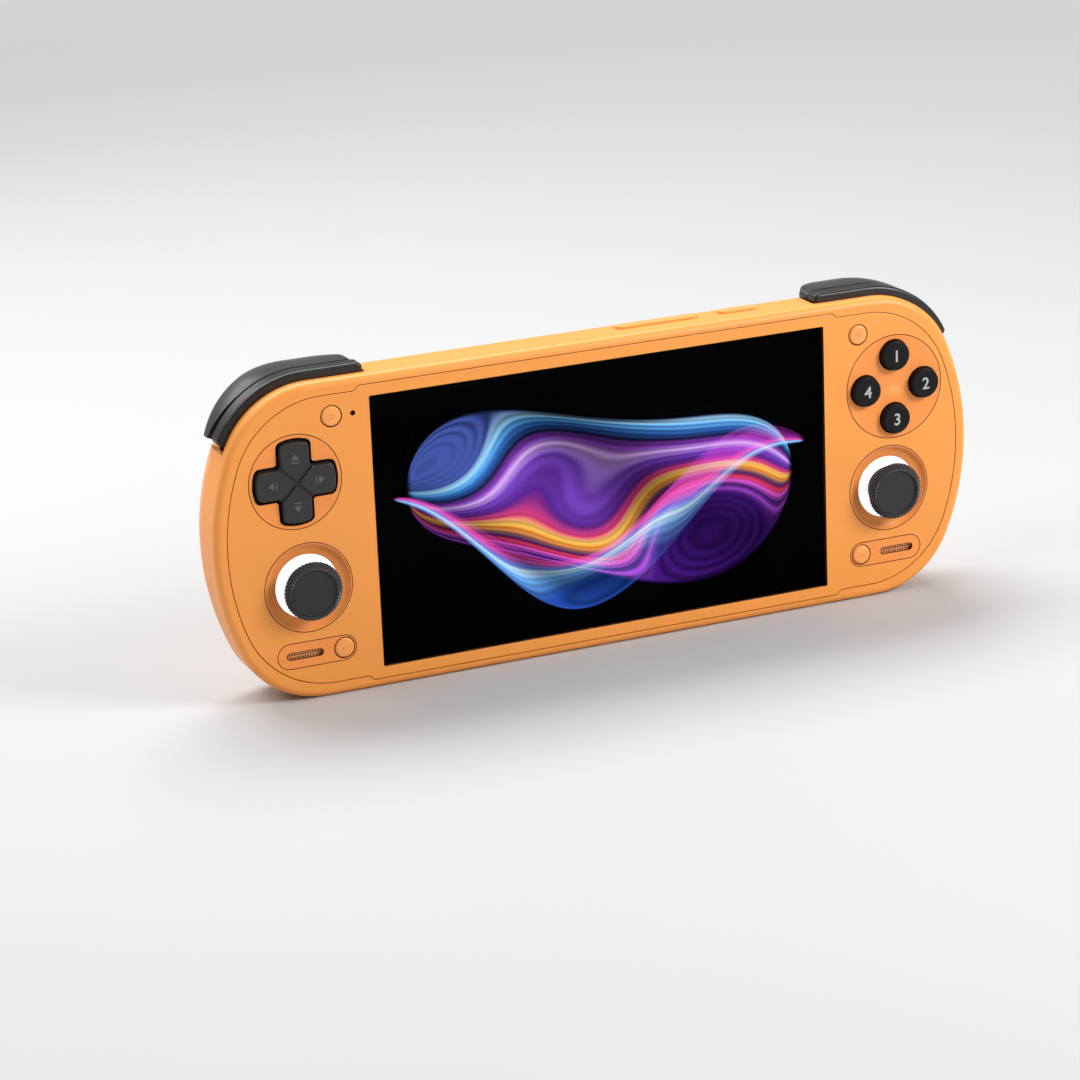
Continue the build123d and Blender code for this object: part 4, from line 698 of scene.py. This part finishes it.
class CONSOLE_OT_finishes(bpy.types.Operator):
    """Make every finish and give it to the CAD pieces"""

    bl_idname = "console.finishes"
    bl_label = "Finishes"

    def execute(self, context):
        make_finishes(context.scene.console_looks)
        for row in frame["record"]["subparts"]:
            paint(nodes[row["node"]], row["material_slot"])
        for side in SIDES:
            paint(nodes[side + "_speaker_mesh"], "mesh_lacquer")
            paint(nodes[side + "_shoulder_button"], "strip_black")
            paint(nodes[side + "_stick_bezel"], "orange_bezel")
        for number in FACE_BUTTONS:
            paint(nodes["face_button_" + str(number)], "key_black")
        paint(nodes["faceplate"], "orange_face")
        paint(nodes["direction_pad"], "pad_black")
        return {"FINISHED"}


def settle(name, finish, place, body):
    """Turn the active flat piece to face the front, set it in its place and make it ride a body."""
    piece = bpy.context.active_object
    piece.name = name
    bpy.ops.object.origin_set(type="ORIGIN_GEOMETRY", center="BOUNDS")
    piece.rotation_euler = (math.pi / 2, 0.0, 0.0)
    piece.location = place
    bpy.ops.object.transform_apply(location=True, rotation=True, scale=True)
    paint(piece, finish)
    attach(piece, body)


def join(pieces):
    """Join pieces into the first, with its origin at the world's middle."""
    for piece in pieces:
        piece.select_set(True)
    bpy.context.view_layer.objects.active = pieces[0]
    bpy.ops.object.transform_apply(location=True, rotation=True, scale=True)
    bpy.ops.object.join()
    return pieces[0]


def add_text(words, size, thickness):
    """Characters as a thin flat mesh, lying flat at the world's middle."""
    bpy.ops.object.select_all(action="DESELECT")
    bpy.ops.object.text_add()
    text = bpy.context.active_object.data
    text.body = words
    text.size = size
    text.extrude = thickness / 2
    text.offset = size * TEXT_WEIGHT
    bpy.ops.object.convert(target="MESH")


def print_place(node, sizes):
    """Middle of a print on a node's front, sunk in it a little."""
    place = middle(node)
    place.y = front(node) - sizes.thickness / 2 + sizes.sink
    return place


def round_and_thicken(thickness, corner):
    """Round the corners of the flat face in edit mode, give it a thickness and leave edit mode."""
    bpy.ops.mesh.bevel(offset=corner, segments=PRINT_CORNER_STEPS, affect="VERTICES")
    bpy.ops.mesh.select_all(action="SELECT")
    bpy.ops.mesh.extrude_region_move(TRANSFORM_OT_translate={"value": (0.0, 0.0, thickness)})
    bpy.ops.mesh.select_all(action="SELECT")
    bpy.ops.mesh.normals_make_consistent(inside=False)
    bpy.ops.object.mode_set(mode="OBJECT")
    return bpy.context.active_object


def plate(size, thickness, corner):
    """A thin plate with rounded corners, lying flat at the world's middle."""
    bpy.ops.mesh.primitive_plane_add(size=1.0)
    bpy.ops.object.mode_set(mode="EDIT")
    bpy.ops.mesh.select_all(action="SELECT")
    bpy.ops.transform.resize(value=(size[0], size[1], 1.0))
    return round_and_thicken(thickness, corner)


def arrow_head(width, height, thickness, corner):
    """A thin triangle with rounded corners that points along +Y."""
    bpy.ops.mesh.primitive_circle_add(vertices=3, radius=1.0, fill_type="NGON")
    bpy.ops.object.mode_set(mode="EDIT")
    bpy.ops.mesh.select_all(action="SELECT")
    scale = (width / math.sqrt(3.0), height / 1.5, 1.0)
    bpy.ops.transform.resize(value=scale, center_override=(0.0, 0.0, 0.0))
    return round_and_thicken(thickness, corner)


class CONSOLE_OT_numerals(bpy.types.Operator):
    """Print a plain numeral on each face button"""

    bl_idname = "console.numerals"
    bl_label = "Numerals"

    def execute(self, context):
        sizes = context.scene.console_prints
        for numeral in map(str, FACE_BUTTONS):
            add_text(numeral, sizes.numeral_size, sizes.thickness)
            place = print_place("face_button_" + numeral, sizes)
            settle("numeral_" + numeral, "pale_print", place, "button_" + numeral)
        return {"FINISHED"}


class CONSOLE_OT_arrows(bpy.types.Operator):
    """Print a triangle and a bar on each arm of the direction pad"""

    bl_idname = "console.arrows"
    bl_label = "Arrows"

    def execute(self, context):
        sizes = context.scene.console_prints
        for turn, name in enumerate(("up", "left", "down", "right")):
            bpy.ops.object.select_all(action="DESELECT")
            head = arrow_head(sizes.arrow_width, sizes.arrow_height, sizes.thickness, sizes.arrow_corner)
            head.location = (0.0, sizes.arrow_reach, 0.0)
            bar = plate((sizes.arrow_width, sizes.bar_width), sizes.thickness, sizes.bar_width * BAR_CORNER)
            bar.location = (0.0, sizes.bar_reach, 0.0)
            arrow = join((head, bar))
            arrow.rotation_euler = (0.0, 0.0, turn * math.pi / 2)
            bpy.ops.object.transform_apply(location=False, rotation=True, scale=False)
            corners = [Vector(corner) for corner in arrow.bound_box]
            off = sum(corners, Vector()) / len(corners)
            place = print_place("direction_pad", sizes) + Vector((off.x, 0.0, off.y))
            settle("arrow_" + name, "dark_print", place, "pad")
        return {"FINISHED"}


def lathe(rings, steps):
    """A round piece about Z, closed at both ends, through rings of (radius, height)."""
    bpy.ops.object.select_all(action="DESELECT")
    radius, level = rings[0]
    bpy.ops.mesh.primitive_circle_add(vertices=steps, radius=radius, fill_type="NGON", location=(0.0, 0.0, level))
    bpy.ops.object.transform_apply(location=True, rotation=True, scale=True)
    bpy.ops.object.mode_set(mode="EDIT")
    bpy.ops.mesh.select_mode(type="EDGE")
    bpy.ops.mesh.select_all(action="SELECT")
    for next_radius, next_level in rings[1:]:
        bpy.ops.mesh.extrude_edges_move(TRANSFORM_OT_translate={"value": (0.0, 0.0, next_level - level)})
        scale = next_radius / radius
        bpy.ops.transform.resize(value=(scale, scale, 1.0), center_override=(0.0, 0.0, next_level))
        radius, level = next_radius, next_level
    bpy.ops.mesh.edge_face_add()
    bpy.ops.mesh.select_all(action="SELECT")
    bpy.ops.mesh.normals_make_consistent(inside=False)
    bpy.ops.object.mode_set(mode="OBJECT")
    bpy.ops.object.shade_smooth_by_angle(angle=SMOOTH_ANGLE)
    return bpy.context.active_object


def face_front(piece, centre, level):
    """Turn a piece made about Z to the front, its Z = 0 at a level along Y."""
    piece.rotation_euler = (math.pi / 2, 0.0, 0.0)
    piece.location = (centre.x, level, centre.z)
    bpy.ops.object.transform_apply(location=True, rotation=True, scale=True)


class CONSOLE_OT_keys(bpy.types.Operator):
    """Turn each small round button with a softly rounded edge and a slight dome"""

    bl_idname = "console.keys"
    bl_label = "Small buttons"

    def execute(self, context):
        sizes = context.scene.console_keys
        for name in SMALL_BUTTONS:
            node = name + "_button"
            low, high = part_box(node)
            flange = (high.x - low.x) / 2
            back = high.y - low.y
            flat = sizes.radius - sizes.edge
            rings = [(flange, -back), (flange, sizes.flange - back), (sizes.radius, sizes.flange - back)]
            for step in range(sizes.rings + 1):
                angle = math.pi / 2 * step / sizes.rings
                drop = sizes.edge * (math.sin(angle) - 1.0) - sizes.dome
                rings.append((flat + sizes.edge * math.cos(angle), drop))
            for step in range(1, sizes.rings):
                share = 1.0 - step / sizes.rings
                rings.append((flat * share, -sizes.dome * share * share))
            key = lathe(rings, sizes.steps)
            key.name = name + "_key_skin"
            face_front(key, (low + high) / 2, low.y)
            paint(key, "orange_keys")
            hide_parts(node)
            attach(key, name)
        return {"FINISHED"}


class CONSOLE_OT_caps(bpy.types.Operator):
    """Turn each thumb cap with a round lip and a sunken disc"""

    bl_idname = "console.caps"
    bl_label = "Thumb caps"

    def execute(self, context):
        sizes = context.scene.console_caps
        for side in SIDES:
            node = side + "_stick_cap"
            low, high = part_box(node)
            radius = (high.x - low.x) / 2
            inner = sizes.disc_radius + sizes.lip_round
            rings = [
                (sizes.stem_radius, high.y - low.y), (sizes.stem_radius, sizes.foot_depth),
                (sizes.foot_radius, sizes.foot_depth), (radius, sizes.side_back), (radius, sizes.side_front),
                (sizes.lip_radius + sizes.lip_round / 2, sizes.lip_round / 2),
                (sizes.lip_radius - sizes.lip_round, 0.0),
                (inner + sizes.lip_round / 2, 0.0), (inner, sizes.lip_round / 2), (inner, sizes.lip_round),
                (sizes.disc_radius, sizes.disc_depth - sizes.lip_round),
                (sizes.disc_radius - sizes.lip_round, sizes.disc_depth),
            ]
            for wide, deep in DISC_RINGS:
                rings.append((sizes.disc_radius * wide, sizes.disc_depth + sizes.disc_bowl * deep))
            cap = lathe([(wide, -depth) for wide, depth in rings], sizes.steps)
            cap.name = side + "_cap_skin"
            face_front(cap, (low + high) / 2, low.y)
            paint(cap, "black_rubber")
            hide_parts(node)
            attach(cap, side + "_cap")
        return {"FINISHED"}


def stud_seed(sizes):
    """One small bevelled pyramid stump on Z = 0, sunk in it a little."""
    bpy.ops.object.select_all(action="DESELECT")
    bpy.ops.mesh.primitive_cone_add(
        vertices=4, radius1=sizes.stud, radius2=sizes.stud * sizes.tip_share, depth=sizes.height
    )
    bpy.ops.object.mode_set(mode="EDIT")
    bpy.ops.mesh.select_all(action="SELECT")
    bpy.ops.transform.translate(value=(0.0, 0.0, sizes.height / 2 - sizes.sink))
    bpy.ops.mesh.bevel(offset=sizes.stud * STUD_BEVEL, segments=1)
    bpy.ops.object.mode_set(mode="OBJECT")
    return bpy.context.active_object


def stud_rows(sizes, radius, level):
    """Rows of studs on a cap whose front is at a level along Y: (radius, level) and the normal there."""
    slope_start = Vector((radius, level + sizes.slope_depth))
    slope_end = Vector((sizes.lip_radius, level))
    normal = (slope_start - slope_end).orthogonal()
    if normal.x < 0.0:
        normal = -normal
    rows = []
    for row in range(sizes.slope_rows):
        share = SLOPE_SHARE * (row + 0.5) / sizes.slope_rows
        rows.append((slope_start.lerp(slope_end, share), normal))
    for row in range(sizes.side_rows):
        back = level + sizes.slope_depth + (row + 0.5) * sizes.side_pitch
        rows.append((Vector((radius, back)), Vector((1.0, 0.0))))
    return rows


def add_stud(seed, centre, spot, normal, angle):
    """A copy of the stud at a row's spot and an angle round the cap, standing along the row's normal."""
    out = Vector((math.cos(angle), 0.0, math.sin(angle)))
    along = Vector((-math.sin(angle), 0.0, math.cos(angle)))
    face = (out * normal.x + Vector((0.0, normal.y, 0.0))).normalized()
    place = Vector((centre.x, spot.y, centre.z)) + out * spot.x
    turn = Matrix((along, face.cross(along), face)).transposed().to_4x4()
    stud = seed.copy()
    stud.data = seed.data.copy()
    stud.matrix_world = Matrix.Translation(place) @ turn
    bpy.context.scene.collection.objects.link(stud)
    return stud


class CONSOLE_OT_knurls(bpy.types.Operator):
    """Set staggered rows of small studs round the shoulder and the side of each thumb cap"""

    bl_idname = "console.knurls"
    bl_label = "Knurls"

    def execute(self, context):
        sizes = context.scene.console_knurl
        for side in SIDES:
            node = side + "_stick_cap"
            low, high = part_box(node)
            centre = (low + high) / 2
            radius = (high.x - low.x) / 2
            seed = stud_seed(sizes)
            studs = []
            for index, (spot, normal) in enumerate(stud_rows(sizes, radius, low.y)):
                for step in range(sizes.columns):
                    angle = 2.0 * math.pi * (step + 0.5 * (index % 2)) / sizes.columns
                    studs.append(add_stud(seed, centre, spot, normal, angle))
            bpy.data.objects.remove(seed)
            knurl = join(studs)
            knurl.name = side + "_cap_knurl"
            # the studs take the rubber with the painted highlight
            paint(knurl, "worn_rubber")
            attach(knurl, side + "_cap")
        return {"FINISHED"}


class CONSOLE_OT_key_marks(bpy.types.Operator):
    """Print faint marks of bars and dots on the small round buttons"""

    bl_idname = "console.key_marks"
    bl_label = "Key marks"

    def execute(self, context):
        sizes = context.scene.console_prints
        for name in SMALL_BUTTONS:
            (width, height), spots = KEY_MARKS[name]
            bpy.ops.object.select_all(action="DESELECT")
            pieces = []
            for x, y in spots:
                piece = plate((width * MM, height * MM), sizes.thickness, min(width, height) * MARK_CORNER * MM)
                piece.location = (x * MM, y * MM, 0.0)
                pieces.append(piece)
            join(pieces)
            settle(name + "_mark", "key_print", print_place(name + "_button", sizes), name)
        return {"FINISHED"}


STEPS = (
    CONSOLE_OT_stage, CONSOLE_OT_finishes, CONSOLE_OT_numerals, CONSOLE_OT_arrows, CONSOLE_OT_key_marks,
    CONSOLE_OT_keys, CONSOLE_OT_caps, CONSOLE_OT_knurls,
)


GROUPS = {
    "console_looks": ConsoleLooks, "console_prints": ConsolePrints, "console_keys": ConsoleKeys,
    "console_caps": ConsoleCaps, "console_knurl": ConsoleKnurl, "console_stage": ConsoleStage,
}


class CONSOLE_PT_panel(bpy.types.Panel):
    """The console's steps and sizes"""

    bl_idname = "CONSOLE_PT_panel"
    bl_label = "Handheld console"
    bl_space_type = "VIEW_3D"
    bl_region_type = "UI"
    bl_category = "Console"

    def draw(self, context):
        for step in STEPS:
            self.layout.operator(step.bl_idname)
        for group_name in GROUPS:
            group = getattr(context.scene, group_name)
            for name in group.bl_rna.properties.keys():
                if name not in ("rna_type", "name"):
                    self.layout.prop(group, name)


CLASSES = (*GROUPS.values(), *STEPS, CONSOLE_PT_panel)


def register():
    for made in CLASSES:
        bpy.utils.register_class(made)
    for name, group in GROUPS.items():
        setattr(bpy.types.Scene, name, PointerProperty(type=group))


def unregister():
    for name in reversed(GROUPS):
        delattr(bpy.types.Scene, name)
    for made in reversed(CLASSES):
        bpy.utils.unregister_class(made)


def main():
    register()
    for step in STEPS:
        group, name = step.bl_idname.split(".")
        getattr(getattr(bpy.ops, group), name)()


if __name__ == "__main__":
    main()
